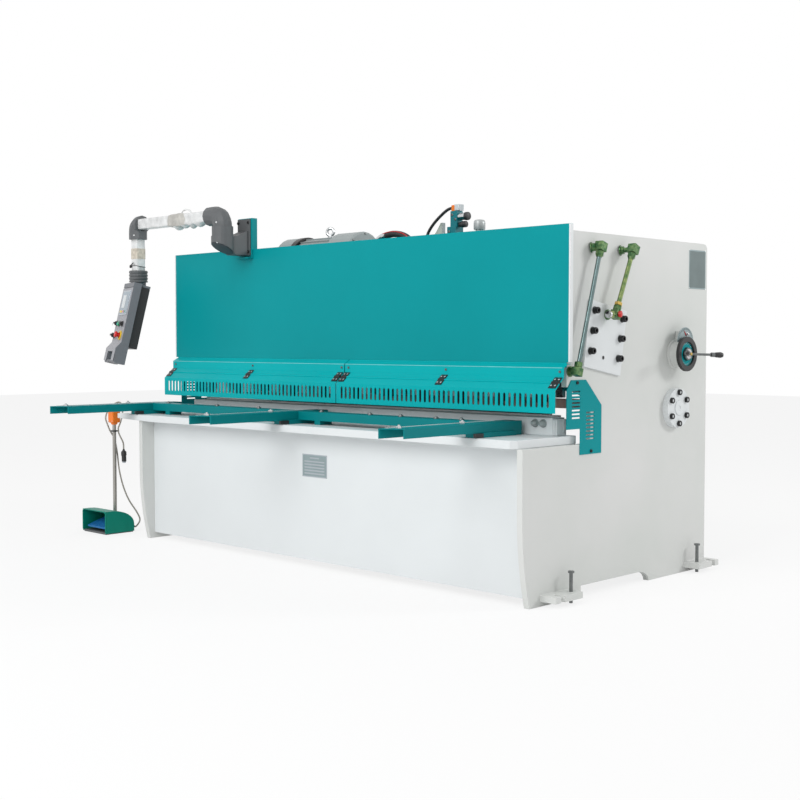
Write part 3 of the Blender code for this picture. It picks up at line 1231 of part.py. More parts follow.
def pedal_cord(pole_y, back):
    """The pedal's cord: up the pole, over the box, and down to its plug."""
    route = [Vector((PEDAL_X + across, pole_y + behind, up)) for across, behind, up in (
        (CORD_EXIT_X, back - pole_y + SEAT_GAP, CORD_EXIT_Z),
        (CORD_EXIT_X, back - pole_y + CORD_R * 4, CORD_EXIT_Z),
        (CORD_EXIT_X, back - pole_y + CORD_R * 8, CORD_EXIT_Z), (0.099, 0.108, 0.062), (0.088, 0.096, 0.107), (0.052, 0.062, 0.185), (0.032, 0.036, 0.270),
        (0.018, 0.020, 0.365), (-0.004, 0.022, 0.460), (-0.018, 0.014, 0.545), (-0.0216, -0.0152, 0.598),
        (-0.032, -0.026, 0.636), (-0.045, -0.030, 0.672), (-0.050, -0.014, 0.712), (-0.040, 0.020, 0.752),
        (-0.012, 0.043, 0.768), (0.022, 0.044, 0.746), (0.042, 0.030, 0.700), (0.042, 0.018, 0.655),
        (0.026, 0.012, 0.618), (0.0216, 0.0152, 0.598), (0.0220, 0.0160, 0.586), (0.030, 0.023, 0.562), (0.042, 0.034, 0.525),
        (0.043, 0.036, 0.4775))]
    points = [route[0]] + smooth_route(route[1:], CORD_R * 6)
    curve = bpy.data.curves.new("pedal_cord", "CURVE")
    curve.dimensions = "3D"
    curve.bevel_depth = CORD_R
    curve.bevel_resolution = 2
    curve.use_fill_caps = True
    line = curve.splines.new("POLY")
    line.points.add(len(points) - 1)
    for point, place in zip(line.points, points):
        point.co = (*place, 1.0)
    cord = settle(link(bpy.data.objects.new("pedal_cord", curve), CABLE))
    end = route[-1]
    along = (points[-1] - points[-2]).normalized()
    start = end + along * SEAT_GAP
    plug = rod("pedal_plug", start, start + along * PLUG_L, PLUG_R, BLACK)
    return [cord, plug]


def centre_on_floor(parts, left_out):
    """Carry every part on one empty, at the middle of their bounding box."""
    corners = [vertex.co for thing in parts if thing.name not in left_out for vertex in thing.data.vertices]
    middle = [(min(p[i] for p in corners) + max(p[i] for p in corners)) / 2 for i in range(2)]
    root = bpy.data.objects.new("shear_origin", None)
    MACHINE.objects.link(root)
    root.location = (-middle[0], -middle[1], 0.0)
    for thing in parts:
        thing.parent = root
    return root


def set_origin(thing, pivot):
    """Move an object's origin to its joint, leaving its shape where it is."""
    thing.data.transform(Matrix.Translation(-Vector(pivot)))
    thing.location = pivot


def joint_origins():
    """The point that each moving piece turns or slides about."""
    column = (PEND_X, PEND_Y, PEND_ARM_Z)
    hanger = (PEND_X - PEND_ARM_L, PEND_Y, collar_low())
    return {
        "swing_beam": (0.0, PIVOT_Y, PIVOT_Z),
        "upper_blade": (0.0, PIVOT_Y, PIVOT_Z),
        "left_guard_flap": (-GUARD_X / 2, HINGE_Y, HINGE_Z),
        "right_guard_flap": (GUARD_X / 2, HINGE_Y, HINGE_Z),
        "gap_handle": (PLATE_OUT, DIAL_Y, DIAL_Z),
        "pendant_arm_swivel": column,
        "pendant_arm_tube": column,
        "pendant_outer_elbow": column,
        "pendant_drop_tube": column,
        "pendant_collar": hanger,
        "control_box": hanger,
        "control_box_rear": hanger,
        "stop_button": hanger,
        "pedal_tread": (PEDAL_X, *tread_hinge()),
    }


def build():
    parts = side_plates() + table() + swing_beam() + pivots() + hold_downs() + cover() + finger_guard()
    parts += side_guards() + support_arms() + jack_bolts() + cylinder_plates() + drive_cylinders()
    parts += oil_lines() + gap_dial() + drive_unit() + pendant_mount() + pendant_arm() + control_box()
    parts += foot_pedal()
    root = centre_on_floor(parts, ("pedal_cord", "pedal_plug"))
    origins = joint_origins()
    for thing in parts:
        if thing.name in origins:
            set_origin(thing, origins[thing.name])
        thing.data.shade_smooth()
        thing.data.set_sharp_from_angle(angle=math.radians(35))
    return root


ROOT = build()
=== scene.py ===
import json
import math

import bmesh
import bpy
from mathutils import Matrix, Vector, noise


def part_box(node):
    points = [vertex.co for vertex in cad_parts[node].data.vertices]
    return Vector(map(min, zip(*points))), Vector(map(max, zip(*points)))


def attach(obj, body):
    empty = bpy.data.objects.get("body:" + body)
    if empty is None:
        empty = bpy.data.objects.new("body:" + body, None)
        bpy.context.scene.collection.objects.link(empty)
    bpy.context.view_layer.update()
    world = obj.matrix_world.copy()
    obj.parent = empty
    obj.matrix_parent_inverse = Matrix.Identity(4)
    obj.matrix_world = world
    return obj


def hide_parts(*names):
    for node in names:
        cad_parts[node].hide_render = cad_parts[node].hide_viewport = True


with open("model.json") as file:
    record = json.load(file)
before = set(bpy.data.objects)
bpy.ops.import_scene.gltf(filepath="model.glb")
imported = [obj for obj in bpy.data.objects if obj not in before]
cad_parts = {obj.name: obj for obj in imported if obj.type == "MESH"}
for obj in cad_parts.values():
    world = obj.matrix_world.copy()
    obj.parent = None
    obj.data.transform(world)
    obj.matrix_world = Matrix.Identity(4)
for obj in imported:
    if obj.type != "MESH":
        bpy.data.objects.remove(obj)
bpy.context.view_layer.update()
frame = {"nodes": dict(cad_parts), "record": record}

nodes = frame["nodes"]

# the machine's own zero: middle of its width, front foot of the side plates, floor
coverLow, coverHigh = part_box("front_cover")
coverFront = 0.232  # the cover's front, back from the zero
zeroPlace = Matrix.Translation(((coverLow.x + coverHigh.x) / 2, coverLow.y - coverFront, 0.0))
plateFace = 1.4003  # outer face of the right side plate
xAxis, yAxis, zAxis = (1, 0, 0), (0, 1, 0), (0, 0, 1)


# nodes: an input is linked where it is given a socket, and set where it is given a value
def fillInputs(tree, node, inputs):
    for key, value in inputs.items():
        if isinstance(value, bpy.types.NodeSocket):
            tree.links.new(value, node.inputs[key])
        else:
            node.inputs[key].default_value = value


def addNode(tree, kind, inputs={}, **settings):
    node = tree.nodes.new(kind)
    for key, value in settings.items():
        setattr(node, key, value)
    fillInputs(tree, node, inputs)
    return node


def newMaterial(name):
    material = bpy.data.materials.new(name)
    material.use_nodes = True
    tree = material.node_tree
    tree.nodes.clear()
    shader = addNode(tree, "ShaderNodeBsdfPrincipled")
    output = addNode(tree, "ShaderNodeOutputMaterial", {"Surface": shader.outputs["BSDF"]})
    return material, tree, shader, output


def noiseOf(tree, scale, detail, stretch=(1, 1, 1)):
    where = addNode(tree, "ShaderNodeTexCoord")
    fit = addNode(tree, "ShaderNodeMapping", {"Vector": where.outputs["Object"], "Scale": stretch})
    grain = addNode(tree, "ShaderNodeTexNoise", {"Vector": fit.outputs["Vector"], "Scale": scale, "Detail": detail})
    return grain.outputs["Fac"]


def spread(tree, value, low, high):
    ramp = addNode(tree, "ShaderNodeMapRange", {"Value": value, "From Min": 0.3, "From Max": 0.7,
                                                "To Min": low, "To Max": high})
    return ramp.outputs["Result"]


# one paint or plating: a broad patchy tone and a fine grain in gloss and relief
def finish(name, colour, roughness, metallic=0.0, patch=0.05, patchScale=1.5, grain=400.0,
           bump=0.02, stretch=(1, 1, 1), shine=0.5, other=None):
    material, tree, shader, output = newMaterial(name)
    dark = [part * (1 - patch) for part in colour] + [1.0]
    light = [min(1.0, part * (1 + patch) + patch * 0.01) for part in other or colour] + [1.0]
    broad = spread(tree, noiseOf(tree, patchScale, 4.0), 0.0, 1.0)
    tone = addNode(tree, "ShaderNodeMix", {0: broad, 6: dark, 7: light}, data_type="RGBA")
    fine = noiseOf(tree, grain, 2.0, stretch)
    relief = addNode(tree, "ShaderNodeBump", {"Strength": bump, "Distance": 0.001, "Height": fine})
    fillInputs(tree, shader, {"Base Color": tone.outputs[2], "Normal": relief.outputs["Normal"],
                              "Roughness": spread(tree, fine, roughness * 0.88, min(1.0, roughness * 1.12)),
                              "Metallic": metallic, "Specular IOR Level": shine})
    return material


# finishes by the record's slot: CAD nodes take the first one of theirs unless nodeLook names another
coat = {"grain": 350, "bump": 0.05}
slotLooks = {
    "white_paint": {
        "whitePaint": finish("white machine paint", (0.715, 0.745, 0.755), 0.42, patch=0.03, **coat),
        "platePaint": finish("warm white plate paint", (0.63, 0.655, 0.63), 0.46, patch=0.035, **coat,
                             other=(0.655, 0.66, 0.65)),
        "pumpPaint": finish("dark teal valve enamel", (0.0, 0.17, 0.20), 0.36, patch=0.08, grain=500, bump=0.05,
                            shine=0.3),
        "palePlate": finish("pale green junction plate", (0.50, 0.56, 0.50), 0.45, patch=0.08, grain=500),
        "canPaint": finish("pale filler cap", (0.44, 0.46, 0.46), 0.35, 0.3, patch=0.10, patchScale=30, grain=500),
        "screenPale": finish("pale screen field", (0.60, 0.64, 0.66), 0.2, patch=0.1, patchScale=12, grain=600),
        "plateGrey": finish("bare grey plate", (0.27, 0.34, 0.35), 0.38, 0.4, patch=0.06, patchScale=18, grain=500),
        "whiteKey": finish("white key", (0.74, 0.75, 0.75), 0.35, patch=0.04)},
    "teal_paint": {
        "tealPaint": finish("teal cover paint", (0.0, 0.272, 0.296), 0.40, shine=0.10, **coat),
        "armTeal": finish("dark teal arm paint", (0.0, 0.200, 0.215), 0.38, patch=0.07, shine=0.14, **coat)},
    "bright_teal_paint": {
        "brightTeal": finish("bright teal guard paint", (0.0, 0.400, 0.425), 0.38, patch=0.04, shine=0.10, **coat),
        # pale teal for a painted highlight along the header's top front edge
        "headerHighlight": finish("painted highlight edge", (0.13, 0.50, 0.51), 0.4, patch=0.15, patchScale=14)},
    "grey_paint": {
        "greyPaint": finish("grey pendant casting", (0.092, 0.098, 0.103), 0.5, patch=0.08, grain=700, bump=0.15),
        "boxGrey": finish("grey control box", (0.150, 0.158, 0.175), 0.5, patch=0.08, grain=700, bump=0.15),
        # lighter copy of the box grey: painted light on the front, which faces the light
        "litBoxFace": finish("box face painted lighter as lit", (0.29, 0.295, 0.32), 0.45, patch=0.06, grain=700, bump=0.12),
        "darkGrey": finish("dark inner grey", (0.03, 0.036, 0.045), 0.5, patch=0.1, grain=700, bump=0.08),
        "motorPaint": finish("grey motor enamel", (0.33, 0.37, 0.37), 0.45, patch=0.08, grain=500, bump=0.08),
        "chartGrey": finish("dark chart plate", (0.135, 0.175, 0.175), 0.38, 0.3, patch=0.06, patchScale=18,
                            grain=500)},
    "bright_steel": {
        "groundSteel": finish("ground steel", (0.55, 0.56, 0.57), 0.30, 0.95, grain=300, bump=0.08,
                              stretch=(0.02, 1, 1)),
        "bladeSteel": finish("pale blade steel", (0.60, 0.60, 0.60), 0.45, 0.35, patch=0.06, grain=300),
        "boltSteel": finish("dark bolt steel", (0.16, 0.17, 0.17), 0.34, 0.9, patch=0.15, patchScale=60, grain=600),
        "silver": finish("silver panel frame", (0.42, 0.46, 0.50), 0.32, 0.5, grain=500),
        "gaugeSteel": finish("brown oiled gauge plate", (0.16, 0.075, 0.06), 0.42, 0.5, patch=0.35, patchScale=5,
                             other=(0.42, 0.27, 0.24))},
    "chrome": {
        "chrome": finish("turned bright steel", (0.62, 0.63, 0.64), 0.18, 1.0, grain=300, bump=0.03),
        "poleSteel": finish("dull pole tube", (0.37, 0.355, 0.33), 0.32, 0.85)},
    "zinc_plate": {
        "zinc": finish("yellow green zinc", (0.06, 0.16, 0.05), 0.30, 0.8, patch=0.25, patchScale=45, grain=500,
                       other=(0.26, 0.27, 0.10)),
        "zincNut": finish("green zinc nuts", (0.015, 0.12, 0.045), 0.30, 0.75, patch=0.25, patchScale=55, grain=500,
                          other=(0.14, 0.22, 0.09)),
        "pipeZinc": finish("yellow zinc pipe", (0.08, 0.20, 0.08), 0.28, 0.85, patch=0.25, patchScale=35, grain=500,
                           other=(0.25, 0.29, 0.11)),
        "pipeSteel": finish("teal tinted pipe", (0.145, 0.205, 0.205), 0.26, 0.9, patch=0.2, patchScale=30,
                            grain=500),
        "brass": finish("brass collar", (0.62, 0.43, 0.12), 0.3, 0.9, patch=0.1, patchScale=40, grain=500)},
    "black_plastic": {
        "blackPlastic": finish("black plastic", (0.018, 0.018, 0.019), 0.45, patch=0.2, grain=800, bump=0.08),
        "blackOxide": finish("black oxide steel", (0.012, 0.012, 0.013), 0.34, 0.3, patch=0.2, grain=600),
        "hoseBlack": finish("black hose rubber", (0.02, 0.02, 0.021), 0.55, patch=0.15, grain=900, bump=0.2)},
    "white_wrap": {
        "filmWrap": finish("crinkled white film", (0.66, 0.67, 0.67), 0.30, patch=0.16, patchScale=26, grain=70,
                           bump=0.9),
        # darker copy of the white film: painted shade on the bunched wad
        "filmShade": finish("film painted grey as shade", (0.46, 0.45, 0.42), 0.35, patch=0.2, patchScale=30, grain=70,
                          bump=0.9),
        "tape": finish("aged packing tape", (0.55, 0.50, 0.42), 0.4, patch=0.2, patchScale=60, grain=200, bump=0.3)},
    "green_plastic": {
        "greenPlastic": finish("green pedal paint", (0.0, 0.215, 0.155), 0.42, patch=0.08, bump=0.05, shine=0.2),
        "greenKey": finish("green push button", (0.0, 0.34, 0.15), 0.3)},
    "blue_rubber": {
        "blueTread": finish("blue rubber tread", (0.0, 0.13, 0.36), 0.6, patch=0.08, grain=500, bump=0.15),
        "screen": finish("switched off screen", (0.20, 0.27, 0.33), 0.16, patch=0.15, patchScale=12, grain=600)},
    "orange_plastic": {
        "orange": finish("orange plastic", (0.85, 0.19, 0.008), 0.4, grain=500, bump=0.05),
        "yellowKey": finish("yellow ring", (0.80, 0.55, 0.0), 0.35)},
    "red_plastic": {
        "red": finish("red plastic", (0.58, 0.012, 0.010), 0.35, grain=500, bump=0.04),
        "pinkKey": finish("pink key", (0.70, 0.16, 0.26), 0.35)},
    "cable_sheath": {
        "cable": finish("braided grey cable", (0.17, 0.15, 0.125), 0.55, patch=0.25, patchScale=320, grain=900,
                        bump=0.5, other=(0.40, 0.38, 0.34))}}
looks = {look: material for group in slotLooks.values() for look, material in group.items()}

nodeLook = {
    "armTeal": ("left_arm", "middle_arm", "right_arm", "left_cross_bar", "right_cross_bar"),
    "platePaint": ("left_side_plate", "right_side_plate"), "tealPaint": ("left_side_guard", "right_side_guard"),
    "boltSteel": ("left_front_jack", "right_front_jack", "left_rear_jack", "right_rear_jack", "gap_handle"),
    "motorPaint": ("motor",), "blackOxide": ("hold_down_beam",), "bladeSteel": ("lower_blade",),
    "boxGrey": ("control_box",), "poleSteel": ("pedal_pole",)}
softEdge = {"front_cover": 0.0015, "table_slab": 0.003, "bed_beam": 0.002, "right_side_plate": 0.002,
            "left_side_plate": 0.002, "oil_tank": 0.003, "front_apron": 0.002, "control_box": 0.003,
            "right_cylinder_plate": 0.001, "pendant_bracket": 0.001}


def easeEdges(thing, width):
    ease = thing.modifiers.new("eased edges", "BEVEL")
    ease.width = width
    ease.segments = 2
    ease.limit_method = "ANGLE"
    ease.angle_limit = math.radians(40)
    return ease


def paintNodes():
    nodeSlot = {entry["node"]: entry["material_slot"] for entry in frame["record"]["subparts"]}
    ownLook = {name: look for look, group in nodeLook.items() for name in group}
    for name, thing in nodes.items():
        look = ownLook.get(name) or next(iter(slotLooks[nodeSlot[name]]))
        thing.data.materials.clear()
        thing.data.materials.append(looks[look])
        if name in softEdge:
            weld = thing.modifiers.new("join loose corners", "WELD")
            weld.merge_threshold = 0.00001
            easeEdges(thing, softEdge[name]).harden_normals = True


paintNodes()
print("CAD nodes painted")


# shapes: each adds closed solids to one mesh, in the machine's own coordinates
def addBox(shape, low, high):
    made = bmesh.ops.create_cube(shape, size=1.0)["verts"]
    bmesh.ops.scale(shape, vec=[b - a for a, b in zip(low, high)], verts=made)
    bmesh.ops.translate(shape, vec=[(b + a) / 2 for a, b in zip(low, high)], verts=made)


# the same box on the left and on the right
def bothSides(low, high):
    return (addBox, (-high[0], *low[1:]), (-low[0], *high[1:])), (addBox, low, high)


# a turned form: its profile gives radius and height, from the far end down to the base
def addLathe(shape, base, toward, profile, sides=32):
    turn = Vector(toward).to_track_quat("Z", "Y").to_matrix()
    rings = []
    for radius, height in profile:
        ring = []
        for index in range(sides):
            angle = math.tau * index / sides
            spot = Vector((radius * math.cos(angle), radius * math.sin(angle), height))
            ring.append(shape.verts.new(Vector(base) + turn @ spot))
        rings.append(ring)
    for upper, lower in zip(rings, rings[1:]):
        for index in range(sides):
            after = (index + 1) % sides
            shape.faces.new((upper[index], lower[index], lower[after], upper[after]))
    shape.faces.new(rings[0])
    shape.faces.new(rings[-1][::-1])


def addRod(shape, start, end, radius, sides=24, edge=0.0):
    length = (Vector(end) - Vector(start)).length
    profile = [(radius, length), (radius, 0.0)]
    if edge:
        profile = [(radius - edge, length), (radius, length - edge), (radius, edge), (radius - edge, 0.0)]
    addLathe(shape, start, Vector(end) - Vector(start), profile, sides)


# faces between neighbouring rings of points, and over the ends unless the last ring meets the first
def skinRings(shape, rings, closed=False):
    for first, second in zip(rings, rings[1:] + (rings[:1] if closed else [])):
        for index in range(len(first)):
            after = (index + 1) % len(first)
            shape.faces.new((first[index], first[after], second[after], second[index]))
    if not closed:
        shape.faces.new(rings[0][::-1])
        shape.faces.new(rings[-1])


def addPrism(shape, outline, axis, low, high):
    place = {"X": lambda a, b, c: (c, a, b), "Y": lambda a, b, c: (a, c, b), "Z": lambda a, b, c: (a, b, c)}[axis]
    skinRings(shape, [[shape.verts.new(place(a, b, level)) for a, b in outline] for level in (low, high)])


# a flat ring about X with eased outer edges
def addRing(shape, centre, inner, outer, low, high, edge=0.0008, sides=64):
    rings = []
    for radius, height in ((inner, low), (inner, high - edge), (inner + edge, high), (outer - edge, high),
                           (outer, high - edge), (outer, low)):
        turns = [math.tau * index / sides for index in range(sides)]
        rings.append([shape.verts.new(Vector(centre) + Vector((height, radius * math.cos(turn),
                                                               radius * math.sin(turn)))) for turn in turns])
    skinRings(shape, rings, closed=True)


# points on a smooth curve through the given ones
def smoothPath(points, steps=8):
    points = [Vector(point) for point in points]
    ends = [points[0] * 2 - points[1]] + points + [points[-1] * 2 - points[-2]]
    path = []
    for a, b, c, d in zip(ends, ends[1:], ends[2:], ends[3:]):
        for step in range(steps):
            t = step / steps
            path.append((b * 2 + (c - a) * t + (a * 2 - b * 5 + c * 4 - d) * t * t
                         + (b * 3 - a - c * 3 + d) * t ** 3) / 2)
    return path + [points[-1]]


# a route whose corners are rounded over one length
def roundedPath(points, fillet, steps=8):
    route = [Vector(point) for point in points]
    path = [route[0]]
    for before, corner, after in zip(route, route[1:], route[2:]):
        back = (before - corner).normalized()
        ahead = (after - corner).normalized()
        for step in range(steps + 1):
            share = step / steps
            path.append(corner + back * fillet * (1 - share) ** 2 + ahead * fillet * share ** 2)
    return path + [route[-1]]


# a round tube along a path: its radius is a number, or a function of how far along it is
def addTube(shape, path, radius, sides=16, closed=False):
    count = len(path)
    rings = []
    side = None
    for index, point in enumerate(path):
        before = path[index - 1] if index or closed else point
        after = path[(index + 1) % count] if index < count - 1 or closed else point
        along = (after - before).normalized()
        if side is None:
            side = along.cross(zAxis).normalized()
            if abs(along.z) > 0.99:
                side = along.orthogonal().normalized()
        side = (side - along * side.dot(along)).normalized()
        other = along.cross(side)
        size = radius(index / (count - 1)) if callable(radius) else radius
        turns = [math.tau * step / sides for step in range(sides)]
        rings.append([shape.verts.new(point + (side * math.cos(turn) + other * math.sin(turn)) * size)
                      for turn in turns])
    skinRings(shape, rings, closed)


# the mesh of some parts, each a shape function with its values
def newMesh(name, parts, place=None):
    shape = bmesh.new()
    for add, *values in parts:
        add(shape, *values)
    if place is not None:
        shape.transform(place)
    shape.normal_update()
    bmesh.ops.recalc_face_normals(shape, faces=shape.faces)
    mesh = bpy.data.meshes.new(name)
    shape.to_mesh(mesh)
    shape.free()
    return mesh


# a finished piece: its parts are placed in the world, painted and carried by a body
def makePiece(name, look, *parts, body="frame", edge=0.0, hides=(), place=Matrix.Identity(4), angle=35.0):
    mesh = newMesh(name, parts, zeroPlace @ place)
    mesh.materials.append(looks[look])
    mesh.shade_smooth()
    mesh.set_sharp_from_angle(angle=math.radians(angle))
    thing = bpy.data.objects.new(name, mesh)
    bpy.context.scene.collection.objects.link(thing)
    if edge:
        easeEdges(thing, edge)
    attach(thing, body)
    if hides:
        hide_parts(*hides)
    return thing


# parts built at the zero and moved to a place
def addPlaced(shape, place, *parts):
    mesh = newMesh("part", parts)
    mesh.transform(place)
    shape.from_mesh(mesh)
    bpy.data.meshes.remove(mesh)


# copies of one small piece in a row or round a centre
def buildCopyTree():
    tree = bpy.data.node_groups.new("copies of one piece", "GeometryNodeTree")
    for name, kind in (("Geometry", "Geometry"), ("Count", "Int"), ("Step", "Vector"), ("Turn", "Vector"),
                       ("Finish", "Material")):
        tree.interface.new_socket(name=name, in_out="INPUT", socket_type="NodeSocket" + kind)
    tree.interface.new_socket(name="Geometry", in_out="OUTPUT", socket_type="NodeSocketGeometry")
    start = addNode(tree, "NodeGroupInput").outputs
    line = addNode(tree, "GeometryNodeMeshLine", {"Count": start["Count"], "Offset": start["Step"]}, mode="OFFSET")
    number = addNode(tree, "GeometryNodeInputIndex")
    turn = addNode(tree, "ShaderNodeVectorMath", {0: start["Turn"], "Scale": number.outputs["Index"]},
                   operation="SCALE")
    copies = addNode(tree, "GeometryNodeInstanceOnPoints", {
        "Points": line.outputs["Mesh"], "Instance": start["Geometry"], "Rotation": turn.outputs["Vector"]})
    solid = addNode(tree, "GeometryNodeRealizeInstances", {"Geometry": copies.outputs["Instances"]})
    colour = addNode(tree, "GeometryNodeSetMaterial", {"Geometry": solid.outputs["Geometry"],
                                                       "Material": start["Finish"]})
    addNode(tree, "NodeGroupOutput", {"Geometry": colour.outputs["Geometry"]})
    return tree


copyTree = buildCopyTree()
copySocket = {item.name: item.identifier for item in copyTree.interface.items_tree if item.in_out == "INPUT"}


# an object's mesh with its modifiers applied
def plainMesh(thing):
    bpy.context.view_layer.update()
    return bpy.data.meshes.new_from_object(thing.evaluated_get(bpy.context.evaluated_depsgraph_get()))


# the plain mesh of the copies of some parts, placed and added to a shape
def addCopies(shape, place, count, step, turn, parts):
    maker = bpy.data.objects.new("unit", newMesh("unit", parts))
    bpy.context.scene.collection.objects.link(maker)
    copies = maker.modifiers.new("copies", "NODES")
    copies.node_group = copyTree
    for key, value in (("Count", count), ("Step", step), ("Turn", turn), ("Finish", looks["boltSteel"])):
        copies[copySocket[key]] = value
    made = plainMesh(maker)
    made.transform(place)
    shape.from_mesh(made)
    maker.modifiers.remove(copies)
    bpy.data.objects.remove(maker, do_unlink=True)
    bpy.data.meshes.remove(made)


def addRow(shape, place, count, step, *parts):
    addCopies(shape, place, count, step, (0, 0, 0), parts)


# copies turned about X, so many degrees apart
def addFan(shape, place, count, degrees, *parts):
    addCopies(shape, place, count, (0, 0, 0), (math.radians(degrees), 0, 0), parts)


# a place whose X, Y and Z run across, up and out of a surface
def surfacePlace(origin, across, up):
    across = Vector(across).normalized()
    up = Vector(up).normalized()
    place = Matrix((across, up, across.cross(up))).transposed().to_4x4()
    place.translation = Vector(origin)
    return place


def frontPlace(x, y, z):
    return surfacePlace((x, y, z), xAxis, zAxis)


# round head standing at z = 0, with a socket in it or domed
def addScrew(shape, radius, height, socket=0.5, sides=16):
    profile = [(radius * socket, height * 0.45), (radius * socket, height), (radius * 0.9, height),
               (radius, height * 0.86), (radius, 0.0)]
    if not socket:
        profile = [(radius * 0.35, height), (radius * 0.8, height * 0.72), (radius, height * 0.2), (radius, 0.0)]
    addLathe(shape, (0, 0, 0), zAxis, profile, sides)


def addHex(shape, radius, height):
    addLathe(shape, (0, 0, 0), zAxis, [(radius * 0.86, height), (radius, height * 0.85), (radius, 0.0)], 6)


# hexagon nut with eased ends, by its middle
def addNut(shape, centre, along, radius, length):
    along = Vector(along).normalized()
    addLathe(shape, Vector(centre) - along * length / 2, along, [
        (radius * 0.88, length), (radius, length - 0.0025), (radius, 0.0025), (radius * 0.88, 0.0)], 6)


studio = {"floorSize": 40.0, "worldStrength": 0.62, "floorWhite": 0.80, "floorTone": 0.86, "lens": 56.37,
          "cameraPlace": (4.6675, -4.1335, 1.126), "cameraTilt": 87.37, "cameraTurn": 44.27}
lamps = {"key": {"power": 345.0, "place": (0.9, -7.0, 5.0), "aim": (0, -0.3, 0.8), "side": 5.0},
         "fill": {"power": 128.0, "place": (5.5, 4.2, 3.6), "aim": (1.4, 0.3, 0.9), "side": 1.5}}


# shows plain white to the camera, in mirrors and through glass, and the plain shader to all other rays
def showWhite(tree, plain, white, share, output):
    rays = addNode(tree, "ShaderNodeLightPath").outputs
    seen = rays["Is Camera Ray"]
    for other in ("Is Glossy Ray", "Is Transmission Ray"):
        seen = addNode(tree, "ShaderNodeMath", {0: seen, 1: rays[other]}, operation="MAXIMUM").outputs[0]
    part = addNode(tree, "ShaderNodeMath", {0: seen, 1: share}, operation="MULTIPLY")
    mix = addNode(tree, "ShaderNodeMixShader", {0: part.outputs[0], 1: plain.outputs[0], 2: white.outputs[0]})
    tree.links.new(mix.outputs[0], output.inputs["Surface"])


def buildWorld():
    world = bpy.data.worlds.new("studio")
    bpy.context.scene.world = world
    world.use_nodes = True
    tree = world.node_tree
    tree.nodes.clear()
    lit, seen = [addNode(tree, "ShaderNodeBackground", {"Strength": power, "Color": (1, 1, 1, 1)})
                 for power in (studio["worldStrength"], 1.0)]
    showWhite(tree, lit, seen, 1.0, addNode(tree, "ShaderNodeOutputWorld"))


def buildFloor():
    bpy.ops.mesh.primitive_plane_add(size=studio["floorSize"], location=(0, 0, -0.0005))
    floor = bpy.context.object
    floor.name = "studio_floor"
    material, tree, shader, output = newMaterial("studio floor")
    fillInputs(tree, shader, {"Base Color": (*[studio["floorTone"]] * 3, 1), "Roughness": 0.9,
                              "Specular IOR Level": 0.1})
    showWhite(tree, shader, addNode(tree, "ShaderNodeEmission", {"Strength": 1.0}), studio["floorWhite"], output)
    floor.data.materials.append(material)


def buildLampsAndCamera():
    for name, size in lamps.items():
        lamp = bpy.data.lights.new(name, "AREA")
        lamp.energy = size["power"]
        lamp.size = size["side"]
        holder = bpy.data.objects.new(name, lamp)
        holder.location = size["place"]
        holder.rotation_euler = (Vector(size["aim"]) - Vector(size["place"])).to_track_quat("-Z", "Y").to_euler()
        bpy.context.scene.collection.objects.link(holder)
    lens = bpy.data.cameras.new("photo camera")
    lens.lens = studio["lens"]
    lens.sensor_width = 36.0
    camera = bpy.data.objects.new("photo camera", lens)
    camera.location = zeroPlace @ Vector(studio["cameraPlace"])
    camera.rotation_euler = (math.radians(studio["cameraTilt"]), 0.0, math.radians(studio["cameraTurn"]))
    bpy.context.scene.collection.objects.link(camera)
    bpy.context.scene.camera = camera
    bpy.context.scene.view_settings.view_transform = "Standard"


buildWorld()
buildFloor()
buildLampsAndCamera()
print("stage, lamps and camera ready")


# pedal cord: out of the box behind the pedal, up the pole, one loop and down to its plug
cord = {"diameter": 0.009, "poleX": -1.77, "poleY": 0.024, "plugR": 0.016, "plugL": 0.062, "plugIn": 0.012}
cordStops = (
    (0.090, 0.0523, 0.026), (0.090, 0.070, 0.026), (0.090, 0.088, 0.026), (0.099, 0.108, 0.062),
    (0.088, 0.096, 0.107), (0.052, 0.062, 0.185), (0.032, 0.036, 0.270), (0.018, 0.020, 0.365),
    (-0.004, 0.022, 0.460), (-0.018, 0.014, 0.545), (-0.0216, -0.0152, 0.598), (-0.032, -0.026, 0.636),
    (-0.045, -0.030, 0.672), (-0.050, -0.014, 0.712), (-0.040, 0.020, 0.752), (-0.012, 0.043, 0.768),
    (0.022, 0.044, 0.746), (0.042, 0.030, 0.700), (0.042, 0.018, 0.655), (0.026, 0.012, 0.618),
    (0.0216, 0.0152, 0.598), (0.0220, 0.0160, 0.586), (0.030, 0.023, 0.562), (0.042, 0.034, 0.525),
    (0.043, 0.036, 0.4775))


def buildCord():
    stops = [Vector((cord["poleX"] + x, cord["poleY"] + y, z)) for x, y, z in cordStops]
    route = [stops[0]] + smoothPath(stops[1:], 8)
    braid = makePiece("pedal_cord_sheath", "cable", (addTube, route, cord["diameter"] / 2, 14),
                      hides=("pedal_cord",))
    end = route[-1]
    along = (route[-1] - route[-2]).normalized()
    r, reach, inside = cord["plugR"], cord["plugL"], cord["plugIn"]
    plug = makePiece("pedal_plug_shell", "blackPlastic", (addLathe, end - along * inside, along, [
        (r * 0.86, reach + inside), (r * 0.86, reach * 0.45 + inside), (r, reach * 0.42 + inside), (r, 0.020),
        (r * 0.9, 0.014), (r * 0.55, 0.010), (0.0052, 0.0)], 24), edge=0.0008, hides=("pedal_plug",))
    pins = makePiece("pedal_plug_insert", "silver", (addLathe, end + along * (reach - 0.001), along, [
        (0.0095, 0.009), (0.0105, 0.008), (0.0105, 0.0)], 20))
    start = stops[0]
    makePiece("pedal_cord_sleeve", "blackPlastic", (addLathe, (start.x, start.y - 0.004, start.z), yAxis, [
        (0.0058, 0.028), (0.0085, 0.012), (0.0105, 0.004), (0.0105, 0.0)], 20))


buildCord()


